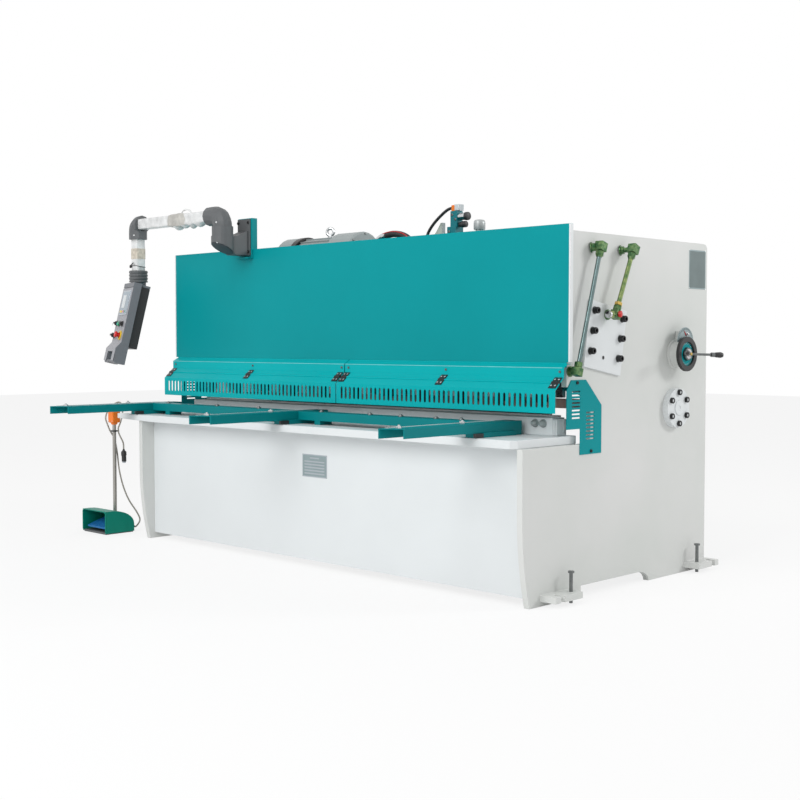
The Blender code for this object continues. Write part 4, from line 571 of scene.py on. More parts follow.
# black hinges of the two finger guards
hinge = {"y": 0.178, "z": 0.953, "beadR": 0.0050, "beadStart": 0.0215, "sleeveR": 0.0066, "sleeveL": 0.040,
         "leafW": 0.040, "leafT": 0.0034, "leafStart": 0.0048, "upperEnd": 0.031, "lowerEnd": 0.035,
         "screwR": 0.0048, "screwH": 0.0016, "screwApart": 0.021, "count": 3,
         "headerUp": (0, 0.749, 0.663), "flapUp": (0, 0.738, 0.675)}
hingeRows = {"left": (-1.396, 0.7095), "right": (0.074, 0.661)}  # x of the first hinge, and how far to the next


def buildLeaves(side, part, up, low, high, body):
    start, pitch = hingeRows[side]
    place = surfacePlace((start, hinge["y"], hinge["z"]), xAxis, up)
    row = (hinge["count"], (pitch, 0, 0))
    half, apart, thick = hinge["leafW"] / 2, hinge["screwApart"] / 2, hinge["leafT"]
    makePiece(f"{side}_hinge_{part}", "blackOxide",
              (addRow, place, *row, (addBox, (-half, low, 0.0001), (half, high, thick))), body=body, edge=0.0007)
    spots = [Matrix.Translation((across, (low + high) / 2, thick)) for across in (-apart, apart)]
    makePiece(f"{side}_hinge_{part}_screws", "chrome", body=body, *[
        (addRow, place @ spot, *row, (addScrew, hinge["screwR"], hinge["screwH"], 0.35)) for spot in spots])


def buildHinges():
    y, z, half = hinge["y"], hinge["z"], hinge["sleeveL"] / 2
    for side, (start, pitch) in hingeRows.items():
        makePiece(f"{side}_hinge_sleeves", "blackOxide", (
            addRow, Matrix.Translation((start, y, z)), hinge["count"], (pitch, 0, 0),
            (addRod, (-half, 0, 0), (half, 0, 0), hinge["sleeveR"], 20, 0.0008)))
        buildLeaves(side, "upper", hinge["headerUp"], hinge["leafStart"], hinge["upperEnd"], "frame")
        buildLeaves(side, "lower", hinge["flapUp"], -hinge["lowerEnd"], -hinge["leafStart"], f"{side}_guard")
    away = hinge["beadStart"]
    makePiece("guard_hinge_bead", "brightTeal", *[
        (addRod, (x + away, y, z), (x + pitch - away, y, z), hinge["beadR"], 16)
        for start, pitch in hingeRows.values() for x in (start, start + pitch)])


header = {"spans": ((-1.412, 0.046), (0.052, 1.412)), "face": 0.204, "ledge": 1.018, "seamY": 0.2340,
          "cover": 1.0405, "screwAside": 0.004, "screwZ": 1.000, "screwR": 0.0058, "screwH": 0.0035,
          "edgeTop": ((1.4302, 0.2322, 1.041), (1.4312, 0.2517, 1.635)),
          "edgeFront": ((1.424, 0.2312, 1.041), (1.4312, 0.2322, 1.635))}


def buildHeader():
    face, ledge, seam = header["face"], header["ledge"], header["seamY"]
    makePiece("guard_header_screws", "boltSteel", *[
        (addRow, frontPlace(start + header["screwAside"], face - 0.0001, header["screwZ"]), 3, (pitch, 0, 0),
         (addScrew, header["screwR"], header["screwH"], 0.45, 14)) for start, pitch in hingeRows.values()])
    makePiece("guard_header_seam", "brightTeal", *[
        (addBox, (x0, seam, ledge + 0.0005), (x1, seam + 0.0025, header["cover"])) for x0, x1 in header["spans"]])
    # a pale teal strip along the top front edge of the header: painted highlight
    makePiece("guard_header_painted_highlight", "headerHighlight", *[
        (addBox, (x0, face - 0.0007, ledge - 0.0030), (x1, face + 0.0010, ledge + 0.0005))
        for x0, x1 in header["spans"]], edge=0.0003)
    makePiece("front_cover_edge_strips", "whitePaint", *bothSides(*header["edgeTop"]),
              *bothSides(*header["edgeFront"]))


buildHinges()
buildHeader()
print("guard hinges")


# blank plates with a border, held by four rivets
plates = {
    "apron_plate": {"origin": (0.014, 0.0299, 0.510), "across": xAxis, "width": 0.182, "height": 0.114,
                    "border": 0.005, "look": "plateGrey", "edgeLook": "silver"},
    "side_chart_plate": {"origin": (plateFace, 1.3115, 1.483), "across": yAxis, "width": 0.151, "height": 0.190,
                         "border": 0.006, "look": "chartGrey", "edgeLook": "plateGrey"}}
# raised blank bars on the apron plate stand for its printed rows: height and half width
plateRows = {"x": 0.014, "y": 0.0280, "halfH": 0.0032, "bars": (
    (0.549, 0.034), (0.531, 0.074), (0.516, 0.074), (0.501, 0.074), (0.486, 0.074), (0.471, 0.074))}


def buildPlates():
    for name, size in plates.items():
        place = surfacePlace(size["origin"], size["across"], zAxis)
        x, y, border = size["width"] / 2, size["height"] / 2, size["border"]
        inset = border * 0.5
        makePiece(name + "_border", size["edgeLook"], (addBox, (-x, -y, 0.0), (x, y, 0.0012)), edge=0.0003,
                  place=place)
        makePiece(name, size["look"], (addBox, (-x + border, -y + border, 0.0008), (x - border, y - border, 0.0018)),
                  edge=0.0002, place=place)
        apart = (size["width"] - 2 * inset, 0, 0)
        makePiece(name + "_rivets", "chrome", *[
            (addRow, Matrix.Translation((-x + inset, row * (y - inset), 0.0012)), 2, apart,
             (addScrew, 0.0026, 0.0016, 0, 10)) for row in (-1, 1)], place=place)
    x, y, high = plateRows["x"], plateRows["y"], plateRows["halfH"]
    makePiece("apron_plate_rows", "silver", *[
        (addBox, (x - half, y - 0.0003, z - high), (x + half, y + 0.0008, z + high))
        for z, half in plateRows["bars"]])


buildPlates()


# support arms: steel rules, stop bolts, runners and the ball rollers of the cross bars
arms = {"faces": {"left": -1.390, "middle": -0.120, "right": 1.160}, "width": 0.090, "top": 0.778,
        "ruleIn": 0.004, "ruleW": 0.014, "ruleT": 0.0016, "ruleFront": -0.535, "ruleBack": 0.14,
        "marks": 66, "marksFront": -0.530, "markStep": 0.010, "markT": 0.0012,
        "bolts": ((-0.036, -0.505), (-0.060, -0.090)), "boltR": 0.013225, "boltH": 0.009,
        "rollers": (-1.302, -0.847, -0.488, 0.006, 0.354, 0.560, 0.786, 0.940), "rollerY": 0.085,
        "stop": ((0.0001, -0.087, 0.718), (0.010, -0.029, 0.735)),
        "rail": ((0.0001, -0.0285, 0.7150), (0.009, 0.196, 0.7370))}


def addArmBolt(shape, x, y):
    addPlaced(shape, Matrix.Translation((x, y, arms["top"])), (addHex, arms["boltR"], arms["boltH"]))
    addLathe(shape, (x, y, arms["top"] + arms["boltH"]), zAxis, [(0.003, 0.006), (0.006, 0.004), (0.006, 0.0)], 12)


def buildArms():
    top, wide, thick = arms["top"], arms["ruleW"], arms["ruleT"]
    for side, face in arms["faces"].items():
        left = face - arms["width"] + arms["ruleIn"]
        makePiece(f"{side}_arm_rule", "whiteKey", (addBox, (left, arms["ruleFront"], top + 0.0001),
                                                   (left + wide, arms["ruleBack"], top + thick)), edge=0.0003)
        makePiece(f"{side}_arm_rule_marks", "blackOxide", (
            addRow, Matrix.Translation((left, arms["marksFront"], top + thick)), arms["marks"],
            (0, arms["markStep"], 0), (addBox, (0, 0, 0), (wide * 0.55, arms["markT"], 0.0003))))
        makePiece(f"{side}_arm_bolts", "chrome", *[(addArmBolt, face + dx, y) for dx, y in arms["bolts"]])
    makePiece("cross_bar_rollers", "boltSteel", *[(addLathe, (x, arms["rollerY"], top), zAxis, [
        (0.003, 0.0110), (0.006, 0.0098), (0.0080, 0.0065), (0.0080, 0.005), (0.0120, 0.005), (0.0125, 0.0042),
        (0.0125, 0.0)], 20) for x in arms["rollers"]])
    for name, look, (low, high) in (("arm_runner_stops", "blackPlastic", arms["stop"]),
                                    ("arm_runner_rails", "armTeal", arms["rail"])):
        makePiece(name, look, *[(addBox, (face + low[0], *low[1:]), (face + high[0], *high[1:]))
                                for face in arms["faces"].values()], edge=0.001)


buildArms()
print("arms and plates")


# bed: the two clamp bolts and the clamp at its right end
bed = {"boltX": (1.214, 1.259), "boltY": 0.2718, "boltZ": 0.768, "boltR": 0.0155, "boltL": 0.026,
       "washerR": 0.019, "washerT": 0.003,
       "clamp": (((1.3102, 0.276, 0.7165), (1.3190, 0.345, 0.788)), ((1.3215, 0.276, 0.7165), (1.3300, 0.345, 0.788)),
                 ((1.3102, 0.330, 0.7165), (1.3300, 0.3445, 0.788)))}


def addBedBolt(shape, x):
    y, z, washer = bed["boltY"], bed["boltZ"], bed["washerR"]
    addPlaced(shape, frontPlace(x, y, z), (addScrew, bed["boltR"], bed["boltL"], 0, 20))
    addLathe(shape, (x, y, z), (0, -1, 0), [(washer, bed["washerT"]), (washer, 0.0)], 20)


makePiece("bed_clamp_bolts", "motorPaint", *[(addBedBolt, x) for x in bed["boltX"]])
makePiece("bed_end_clamp", "whitePaint", *[(addBox, low, high) for low, high in bed["clamp"]], edge=0.0008)


# back gauge on the swing beam: three brackets, the box beam and its stop rail. The beam is a real part, and its black
# is painted shade behind the guard slots
gauge = {"x": 1.000, "stopX": 1.240, "bracketX": (-0.85, 0.0, 0.85), "bracketT": 0.024,
         "beam": (0.600, 0.680, 0.735, 0.930), "stop": (0.592, 0.5995, 0.818, 0.864),
         "bracket": ((0.450, 1.225), (0.575, 1.225), (0.680, 1.060), (0.680, 0.925), (0.600, 0.925), (0.600, 1.035),
                     (0.530, 1.115), (0.450, 1.122)),
         "bolts": 7, "boltStart": -0.9, "boltStep": 0.300, "boltZ": 0.841, "boltR": 0.008, "boltH": 0.007}


def buildGauge():
    # the beam's black stands for the shade behind the guard slots: painted shade
    for name, look, x, key, edge in (("back_gauge_beam", "blackPlastic", gauge["x"], "beam", 0.006),
                                     ("back_gauge_stop", "gaugeSteel", gauge["stopX"], "stop", 0.0008)):
        front, back, low, high = gauge[key]
        makePiece(name, look, (addBox, (-x, front, low), (x, back, high)), body="swing_beam", edge=edge)
    half = gauge["bracketT"] / 2
    makePiece("back_gauge_brackets", "tealPaint", *[
        (addPrism, gauge["bracket"], "X", x - half, x + half) for x in gauge["bracketX"]],
        body="swing_beam", edge=0.0015)
    makePiece("back_gauge_bolts", "boltSteel", (
        addRow, frontPlace(gauge["boltStart"], gauge["stop"][0], gauge["boltZ"]), gauge["bolts"],
        (gauge["boltStep"], 0, 0), (addHex, gauge["boltR"], gauge["boltH"])), body="swing_beam")


buildGauge()
print("back gauge")


# bolted cylinder plates and pivot flanges on both side plates: black socket heads
mount = {"plateY": 0.525, "plateZ": 1.145, "plateT": 0.012, "tilt": -9.5, "column": 0.108, "row": 0.091,
         "rowUp": 0.016, "headR": 0.0150, "headH": 0.0240, "washerR": 0.0175, "washerT": 0.002,
         "pivotY": 1.106, "pivotZ": 0.812, "pivotT": 0.030, "pivotPitchR": 0.075, "pivotHeadR": 0.0142,
         "pivotHeadH": 0.0125, "holeY": 0.505, "holeZ": 1.058, "guardScrews": ((0.324, 0.950), (0.429, 0.645))}
outward = Matrix.Rotation(math.radians(90), 4, "Y")


def buildMounts(side, sign):
    mirror = Matrix.Diagonal((sign, 1, 1, 1))
    face = plateFace + 0.0003
    plate = Matrix.Translation((face + mount["plateT"], mount["plateY"], mount["plateZ"]))
    plate = plate @ Matrix.Rotation(math.radians(mount["tilt"]), 4, "X")
    rows = [plate @ Matrix.Translation((0, mount["column"] * column, mount["rowUp"] - mount["row"])) @ outward
            for column in (-1, 1)]
    down = (-mount["row"], 0, 0)
    makePiece(f"{side}_cylinder_plate_screws", "blackOxide", *[
        (addRow, spot, 3, down, (addScrew, mount["headR"], mount["headH"], 0.52, 24)) for spot in rows],
        edge=0.0004, place=mirror)
    washer = [(mount["washerR"], mount["washerT"]), (mount["washerR"], 0.0)]
    makePiece(f"{side}_cylinder_plate_washers", "boltSteel", *[
        (addRow, spot, 3, down, (addLathe, (0, 0, 0), zAxis, washer, 24)) for spot in rows], place=mirror)
    pivot = (face + mount["pivotT"], mount["pivotY"], mount["pivotZ"])
    makePiece(f"{side}_pivot_screws", "blackOxide", (
        addFan, Matrix.Translation(pivot), 6, 60, (
            addPlaced, Matrix.Translation((0, 0, mount["pivotPitchR"])) @ outward,
            (addScrew, mount["pivotHeadR"], mount["pivotHeadH"], 0.52, 24))), edge=0.0004, place=mirror)
    makePiece(f"{side}_pivot_cap", "whitePaint", (addLathe, pivot, xAxis, [
        (0.010, 0.001), (0.012, 0.004), (0.033, 0.004), (0.035, 0.0025), (0.035, 0.0)], 40), place=mirror)
    makePiece(f"{side}_guard_screws", "blackOxide", *[
        (addPlaced, Matrix.Translation((plateFace + 0.003, y, z)) @ outward, (addScrew, 0.0075, 0.005, 0.45, 20))
        for y, z in mount["guardScrews"]], place=mirror)
    makePiece(f"{side}_plate_plug", "blackOxide", (
        addLathe, (face + mount["plateT"] + 0.0001, mount["holeY"], mount["holeZ"]), xAxis,
        [(0.004, 0.0002), (0.0075, 0.0008), (0.0085, 0.0)], 20), place=mirror)


buildMounts("right", 1)
buildMounts("left", -1)
print("side plate screws")


# oil pipes: a wall fitting, a block elbow, the line with its nuts and a foot block
pipes = {
    "front": {"flange": (0.422, 1.544), "turn": (0.442, 1.547), "foot": (0.273, 1.000), "stand": 0.040, "face": 0.0,
              "look": "pipeSteel", "radius": 0.0100},
    "rear": {"flange": (0.646, 1.542), "turn": (0.668, 1.546), "foot": (0.533, 1.250), "stand": 0.057,
             "face": 0.012, "look": "pipeZinc", "radius": 0.0105}}
fitting = {"nutR": 0.0195, "nutL": 0.023, "away": 0.031, "blockR": 0.0205, "flangeR": 0.0235, "teeAway": 0.028,
           "lockAway": 0.052, "discAway": 0.038}


def addLineNut(shape, centre, along):
    addNut(shape, centre, along, fitting["nutR"], fitting["nutL"])
    addLathe(shape, centre + along * 0.010, along, [(0.0125, 0.008), (0.0145, 0.0)], 20)


def addWallFitting(shape, start, end):
    nut, flange = fitting["nutR"], fitting["flangeR"]
    out, reach = (end - start).normalized(), (end - start).length
    addLathe(shape, start, out, [
        (0.0125, reach), (0.0125, 0.020), (nut, 0.0195), (nut, 0.0065), (nut * 0.9, 0.006)], 6)
    addLathe(shape, start, out, [(flange - 0.001, 0.006), (flange, 0.005), (flange, 0.0)], 24)


def buildPipe(side, sign, name, size):
    mirror = Matrix.Diagonal((sign, 1, 1, 1))
    turn, foot = [Vector((plateFace + size["stand"], *size[key])) for key in ("turn", "foot")]
    wall = Vector((plateFace + 0.0004, *size["flange"]))
    footWall = Vector((plateFace + size["face"] + 0.0004, foot.y, foot.z))
    down = (foot - turn).normalized()
    away, nut, block = fitting["away"], fitting["nutR"], fitting["blockR"]
    makePiece(f"{side}_{name}_pipe_line", size["look"], (addRod, turn, foot, size["radius"], 20), place=mirror,
              hides=(f"{side}_{name}_pipe",))
    makePiece(f"{side}_{name}_pipe_nuts", "zincNut", (addLineNut, turn + down * away, down),
              (addLineNut, foot - down * away, down), (addWallFitting, wall, turn), (addWallFitting, footWall, foot),
              edge=0.0006, place=mirror)
    makePiece(f"{side}_{name}_pipe_blocks", "zincNut", *[
        (addPlaced, surfacePlace(centre, xAxis, down), (addBox, (-half, -half, -half), (half, half, half)))
        for centre, half in ((turn, block), (foot, block * 0.9))], edge=0.0015, place=mirror)
    if name == "rear":
        makePiece(f"{side}_rear_pipe_tee_nut", "pipeZinc", (
            addNut, foot - Vector((0, fitting["teeAway"], 0)), yAxis, nut * 0.9, 0.022), edge=0.0006, place=mirror)
        makePiece(f"{side}_rear_pipe_lock_nut", "brass", (
            addNut, foot - down * fitting["lockAway"], down, nut * 0.95, 0.015), edge=0.0006, place=mirror)
        makePiece(f"{side}_rear_pipe_cap", "red", (addLathe, foot + Vector((0.016, 0.006, 0.002)), (1, 0.25, 0), [
            (0.0105, 0.012), (0.0145, 0.010), (0.0145, 0.0)], 20), place=mirror)
        makePiece(f"{side}_rear_pipe_disc", "chrome", (
            addLathe, foot - Vector((0, fitting["discAway"], 0)), (0, -1, 0), [
                (0.008, 0.0215), (0.0165, 0.020), (0.0165, 0.008), (0.012, 0.006), (0.012, 0.0)], 24), place=mirror)


for pipeName, pipeSizes in pipes.items():
    buildPipe("right", 1, pipeName, pipeSizes)
    buildPipe("left", -1, pipeName, pipeSizes)
print("oil pipes")


# gap dial: white body, black ring with a teal face, hub cap and grips
dial = {"y": 1.115, "z": 1.071, "bodyR": 0.062, "baseR": 0.071, "bodyEnd": 0.062, "ringR": 0.083, "ringEnd": 0.073,
        "holeR": 0.0565, "hubGapR": 0.0315, "boreStart": 0.012, "hubEnd": 1.4793, "spokeX": 1.4623,
        "spokeL": 0.190, "gripL": 0.060, "tilt": 33.0, "drop": 0.030, "marks": 40, "markTurn": 9}


def buildDialBody(centre):
    end, body, base, gap = dial["bodyEnd"], dial["bodyR"], dial["baseR"], dial["hubGapR"]
    thing = makePiece("dial_body", "platePaint", (addLathe, centre, xAxis, [
        (0.050, end), (body - 0.003, end), (body, end - 0.003), (body, 0.008), (base - 0.002, 0.006),
        (base, 0.004), (base, 0.0)], 64), hides=("dial_ring",))
    cutter = makePiece("dial_body_bore", "platePaint", (
        addLathe, centre + Vector((dial["boreStart"], 0, 0)), xAxis, [(gap, 0.1), (gap, 0.0)], 48))
    bore = thing.modifiers.new("bore", "BOOLEAN")
    bore.object = cutter
    made = plainMesh(thing)
    thing.modifiers.remove(bore)
    thing.data = made
    bpy.data.objects.remove(cutter, do_unlink=True)
    made.set_sharp_from_angle(angle=math.radians(35))


def addGrip(shape, way):
    tilt, reach = math.radians(dial["tilt"]), dial["gripL"] + 0.006
    along = Vector((math.sin(tilt), math.cos(tilt) * way, -dial["drop"] * way)).normalized()
    middle = Vector((dial["spokeX"], dial["y"], dial["z"]))
    addLathe(shape, middle + along * (dial["spokeL"] - dial["gripL"] - 0.004), along, [
        (0.004, reach), (0.0105, reach - 0.003), (0.0142, reach - 0.013), (0.0126, reach * 0.5), (0.0092, 0.010),
        (0.0076, 0.0)], 24)


def buildDial():
    y, z, end, hub = dial["y"], dial["z"], dial["bodyEnd"], dial["hubEnd"]
    centre = Vector((plateFace + 0.0004, y, z))
    buildDialBody(centre)
    makePiece("dial_face", "tealPaint", (addRing, centre, dial["hubGapR"], dial["holeR"] + 0.001, end - 0.006,
                                         end + 0.0012))
    makePiece("dial_black_ring", "blackPlastic", (addRing, centre, dial["holeR"], dial["ringR"], end - 0.004,
                                                  dial["ringEnd"], 0.0022))
    makePiece("dial_marks", "whiteKey", (
        addFan, Matrix.Translation(centre + Vector((end + 0.0012, 0, 0))), dial["marks"], dial["markTurn"],
        (addBox, (0.0, -0.0005, 0.047), (0.0005, 0.0005, 0.0545))))
    makePiece("dial_hub_cap", "chrome", (addLathe, (hub - 0.002, y, z), xAxis, [
        (0.006, 0.010), (0.009, 0.010), (0.0105, 0.0085), (0.0105, 0.004), (0.022, 0.004), (0.0245, 0.0)], 32),
        body="gap_handle")
    makePiece("dial_hub_bolt", "brass", (addNut, (hub + 0.010, y, z), xAxis, 0.0085, 0.008), body="gap_handle")
    makePiece("dial_handle_grips", "blackPlastic", (addGrip, 1), (addGrip, -1), body="gap_handle")


# scale sector above the dial, on its bracket
sector = {"y": 1.130, "z": 1.128, "radius": 0.071, "out": 0.046, "ticks": 19, "tickTurn": 7.5, "firstTick": -67.5,
          "bracket": ((1.112, 1.130), (1.148, 1.130), (1.142, 1.180), (1.118, 1.180)),
          "pointer": ((1.132, 1.158), (1.137, 1.162), (1.112, 1.184)), "bolt": (1.141, 1.166)}


def buildSector():
    y, z, radius, out = sector["y"], sector["z"], sector["radius"], plateFace + sector["out"]
    turns = [math.radians(turn) for turn in range(0, 181, 9)]
    makePiece("dial_scale_plate", "plateGrey", (
        addPrism, [(y + radius * math.cos(turn), z + radius * math.sin(turn)) for turn in turns], "X", out,
        out + 0.003), edge=0.0004)
    makePiece("dial_scale_bracket", "platePaint", (
        addPrism, sector["bracket"], "X", plateFace + 0.0005, out - 0.0002), edge=0.002)
    start = Matrix.Translation((out + 0.003, y, z)) @ Matrix.Rotation(math.radians(sector["firstTick"]), 4, "X")
    makePiece("dial_scale_ticks", "blackOxide", (addFan, start, sector["ticks"], sector["tickTurn"], (
        addBox, (0.0, -0.0005, 0.059), (0.0006, 0.0005, 0.068))))
    makePiece("dial_pointer", "red", (addPrism, sector["pointer"], "X", out + 0.0032, out + 0.005), edge=0.0003)
    makePiece("dial_scale_bolt", "chrome", (addLathe, (out + 0.003, *sector["bolt"]), xAxis, [
        (0.005, 0.012), (0.0065, 0.010), (0.0065, 0.004), (0.010, 0.004), (0.010, 0.0)], 20))


buildDial()
buildSector()
print("gap dial")


# pendant arm: film wrap on both tubes, tape, cable tie, cover and screws
arm = {"y": 0.070, "tubeZ": 1.812, "tubeStart": -0.876, "tubeEnd": -1.528, "dropX": -1.570, "dropTop": 1.731,
       "dropLow": 1.541, "half": 0.0300, "corner": 8, "rings": 110, "sides": 44, "crinkle": 0.0030, "smooth": 0.35,
       "looseFrom": -1.26, "bulgeFrom": -1.245, "bulgeTo": -1.045, "bulge": 0.0030, "foldWide": 0.024,
       "folds": ((-1.165, 0.024), (-1.100, 0.016), (-1.030, 0.024), (-0.965, 0.020), (-0.849, 0.012)),
       "wadStart": -1.066, "wadEnd": -1.236, "wadZ": 1.810, "wadDeep": 0.010, "tape": (1.613, 1.673),
       "loop": ((-1.136, 0.068, 1.840), (-1.128, 0.067, 1.857), (-1.100, 0.066, 1.8665), (-1.066, 0.068, 1.861),
                (-1.046, 0.070, 1.842)),
       "tieZ": 1.572, "tieR": 0.0016, "tieTail": ((0.018, -0.010, 0.008), (0.038, -0.008, 0.019))}


# how far the film stands from the middle of its tube, which is nearly square
def squareReach(angle):
    power = arm["corner"]
    return arm["half"] / (abs(math.cos(angle)) ** power + abs(math.sin(angle)) ** power) ** (1 / power)


def addWrap(shape, start, end, bulge):
    start, end = Vector(start), Vector(end)
    across = Vector(yAxis)
    other = (end - start).normalized().cross(across)
    rings = []
    for index in range(arm["rings"]):
        share = index / (arm["rings"] - 1)
        centre = start.lerp(end, share)
        ease = min(1.0, share * 12, (1 - share) * 12)
        ring = []
        for step in range(arm["sides"]):
            angle = math.tau * step / arm["sides"]
            out = across * math.cos(angle) + other * math.sin(angle)
            fine = noise.noise(Vector((centre.x * 34, angle * 1.1 + centre.z * 30, math.cos(angle) * 2)))
            fold = abs(noise.noise(Vector((centre.x * 16 + centre.z * 16 + 5, math.sin(angle) * 1.6,
                                           math.cos(angle) * 1.6))))
            loose = arm["smooth"] + max(0.0, min(1.0, (centre.x - arm["looseFrom"]) / 0.05))
            radius = squareReach(angle) + arm["crinkle"] * loose * ease * (0.5 * fine + 1.2 * fold)
            radius += ease * bulge(centre, out)
            ring.append(shape.verts.new(centre + out * radius))
        rings.append(ring)
    skinRings(shape, rings)


# the wad's swelling and the folds that hang below the arm
def armBulge(centre, out):
    inside = max(0.0, min(1.0, (centre.x - arm["bulgeFrom"]) / 0.06, (arm["bulgeTo"] - centre.x) / 0.10))
    hang = max(deep * math.exp(-((centre.x - spot) / arm["foldWide"]) ** 2) for spot, deep in arm["folds"])
    return arm["bulge"] * inside + hang * max(0.0, -out.z) ** 4


def wadBulge(centre, out):
    middle = (arm["wadStart"] + arm["wadEnd"]) / 2
    return arm["wadDeep"] - 1.0 * (centre.x - middle) ** 2 - 0.003 * abs(out.z)


def noBulge(centre, out):
    return 0.0


def buildWrap():
    x, y, tieZ = arm["dropX"], arm["y"], arm["tieZ"]
    for name, look, start, end, hides, bulge in (
            ("arm_film_wrap", "filmWrap", (arm["tubeStart"], y, arm["tubeZ"]), (arm["tubeEnd"], y, arm["tubeZ"]),
             ("pendant_arm_tube",), armBulge),
            ("drop_film_wrap", "filmWrap", (x, y, arm["dropTop"]), (x, y, arm["dropLow"]), ("pendant_drop_tube",),
             noBulge),
            # the wad's grey film is painted shade on the white film
            ("film_wrap_wad", "filmShade", (arm["wadStart"], y, arm["wadZ"]), (arm["wadEnd"], y, arm["wadZ"]), (),
             wadBulge)):
        makePiece(name, look, (addWrap, start, end, bulge), body="pendant_arm", hides=hides, angle=50)
    makePiece("film_wrap_loop", "filmWrap", (
        addTube, smoothPath(arm["loop"], 10), lambda share: 0.0042 + 0.0014 * math.sin(share * 17), 10),
        body="pendant_arm")
    turns = [math.tau * step / arm["sides"] for step in range(arm["sides"])]
    band = [(x + (squareReach(turn) + 0.0028) * math.cos(turn), y + (squareReach(turn) + 0.0028) * math.sin(turn))
            for turn in turns]
    makePiece("drop_tube_tape", "tape", (addPrism, band, "Z", *arm["tape"]), body="pendant_arm")
    tie = [Vector((x + (squareReach(turn) + 0.0022) * math.cos(turn),
                   y + (squareReach(turn) + 0.0022) * math.sin(turn),
                   tieZ + 0.006 * math.cos(turn + 2.4))) for turn in turns]
    head = Vector((x - 0.026, y - 0.034, tieZ - 0.002))
    tail = smoothPath([head] + [head + Vector(step) for step in arm["tieTail"]], 6)
    makePiece("drop_tube_cable_tie", "blackPlastic", (addTube, tie, arm["tieR"], 8, True), (
        addRod, head + Vector((-0.004, 0, -0.006)), head + Vector((0.004, -0.004, 0.006)), 0.0065, 8, 0.001),
        (addTube, tail, 0.0028, 8), body="pendant_arm")


# screws of the pendant's castings: x, y, z and the way that each one faces, in degrees from the front
pendant = {"elbow": ((-0.758, 0.0199, 1.771, 13), (-1.5443, 0.0254, 1.748, 30)),
           "base": ((-0.7477, 0.0170, 1.6626, 23), (-0.7136, 0.0589, 1.668, 79)),
           "flange": ((-0.727, 1.780), (-0.813, 1.780), (-0.727, 1.622), (-0.813, 1.622)), "flangeY": 0.2133,
           "cover": (-0.770, 0.070, 1.6344), "coverUp": (0, -0.886, 0.463), "coverR": (0.060, 0.067)}


def addCastingScrew(shape, x, y, z, turn):
    aside = (math.cos(math.radians(turn)), math.sin(math.radians(turn)), 0)
    place = surfacePlace((x, y, z), aside, zAxis) @ Matrix.Translation((0, 0, -0.0015))
    addPlaced(shape, place, (addScrew, 0.0045, 0.0045, 0.4, 14))


def buildPendantScrews():
    for name, key, body in (("arm_elbow_screws", "elbow", "pendant_arm"), ("pendant_base_screws", "base", "frame")):
        makePiece(name, "whiteKey", *[(addCastingScrew, *spot) for spot in pendant[key]], body=body)
    makePiece("pendant_flange_screws", "blackOxide", *[
        (addPlaced, frontPlace(x, pendant["flangeY"], z), (addScrew, 0.0085, 0.0045, 0.5, 18))
        for x, z in pendant["flange"]])
    slope = surfacePlace(pendant["cover"], xAxis, pendant["coverUp"])
    makePiece("pendant_base_cover", "darkGrey", (
        addPlaced, slope @ Matrix.Diagonal((*pendant["coverR"], 1, 1)),
        (addLathe, (0, 0, 0), zAxis, [(0.88, 0.0034), (0.94, 0.0028), (0.95, 0.0)], 48)))


buildWrap()
buildPendantScrews()
print("pendant arm")


# control box: everything on its face, drawn upright and leaned with the box
box = {"x": -1.570, "y": 0.070, "z": 1.4777, "yaw": -20.0, "lean": -13.0, "face": -0.050, "half": 0.1180,
       "top": -0.0475, "waist": -0.370, "flare": -0.075, "flareZ": -0.410, "foot": -0.484, "slotX": 0.0590,
       "slotTop": -0.4295, "skin": 0.0007}
boxPlace = (Matrix.Translation((box["x"], box["y"], box["z"])) @ Matrix.Rotation(math.radians(box["yaw"]), 4, "Z")
            @ Matrix.Rotation(math.radians(box["lean"]), 4, "X"))
# flat pieces of the screen: look, from x to x, from z to z, how far they start and end off the face, eased edge
screen = {"screen_frame": ("silver", -0.084, 0.094, -0.209, -0.062, 0.0002, 0.0040, 0.0015),
          "screen_panel": ("screen", -0.074, 0.084, -0.200, -0.071, 0.0035, 0.0052, 0.0008),
          "screen_field": ("screenPale", -0.050, 0.020, -0.166, -0.090, 0.0048, 0.0058, 0.0003),
          "screen_key_yellow": ("yellowKey", -0.058, -0.018, -0.194, -0.182, 0.0048, 0.0068, 0.0006),
          "screen_key_pink": ("pinkKey", 0.004, 0.024, -0.194, -0.182, 0.0048, 0.0068, 0.0006),
          "screen_key_green": ("greenKey", 0.034, 0.048, -0.194, -0.182, 0.0048, 0.0068, 0.0006)}
# knobs: x, z, radius, height, look and whether a bar crosses them
knobs = {"mode_selector": (-0.088, -0.258, 0.0145, 0.012, "blackPlastic", True),
         "lamp_button": (-0.056, -0.262, 0.0085, 0.008, "tealPaint", False),
         "start_button": (-0.018, -0.262, 0.0150, 0.012, "greenKey", False),
         "stroke_selector": (0.052, -0.262, 0.0155, 0.012, "blackPlastic", True),
         "key_switch": (-0.086, -0.330, 0.0165, 0.016, "blackPlastic", True)}


def boxPiece(name, look, *parts, edge=0.0):
    makePiece(name, look, *parts, body="control_box", edge=edge, place=boxPlace)


def buildBoxFace():
    face, skin, flare = box["face"], box["skin"], box["flare"]
    slotTop, half = box["slotTop"], box["half"]
    # a thin skin on the front in the lighter grey: painted light falling on the box front
    boxPiece("control_box_front_lit_skin", "litBoxFace", (addPrism, [
        (face - skin, box["top"]), (face + 0.001, box["top"]), (face + 0.001, box["waist"]),
        (flare + 0.001, box["flareZ"]), (flare + 0.001, slotTop), (flare - skin, slotTop),
        (flare - skin, box["flareZ"]), (face - skin, box["waist"])], "X", -half, half),
        *bothSides((box["slotX"], flare - skin, box["foot"]), (half, flare + 0.001, slotTop)))
    for name, (look, x0, x1, z0, z1, start, end, edge) in screen.items():
        boxPiece(name, look, (addBox, (x0, face - end, z0), (x1, face - start, z1)), edge=edge)


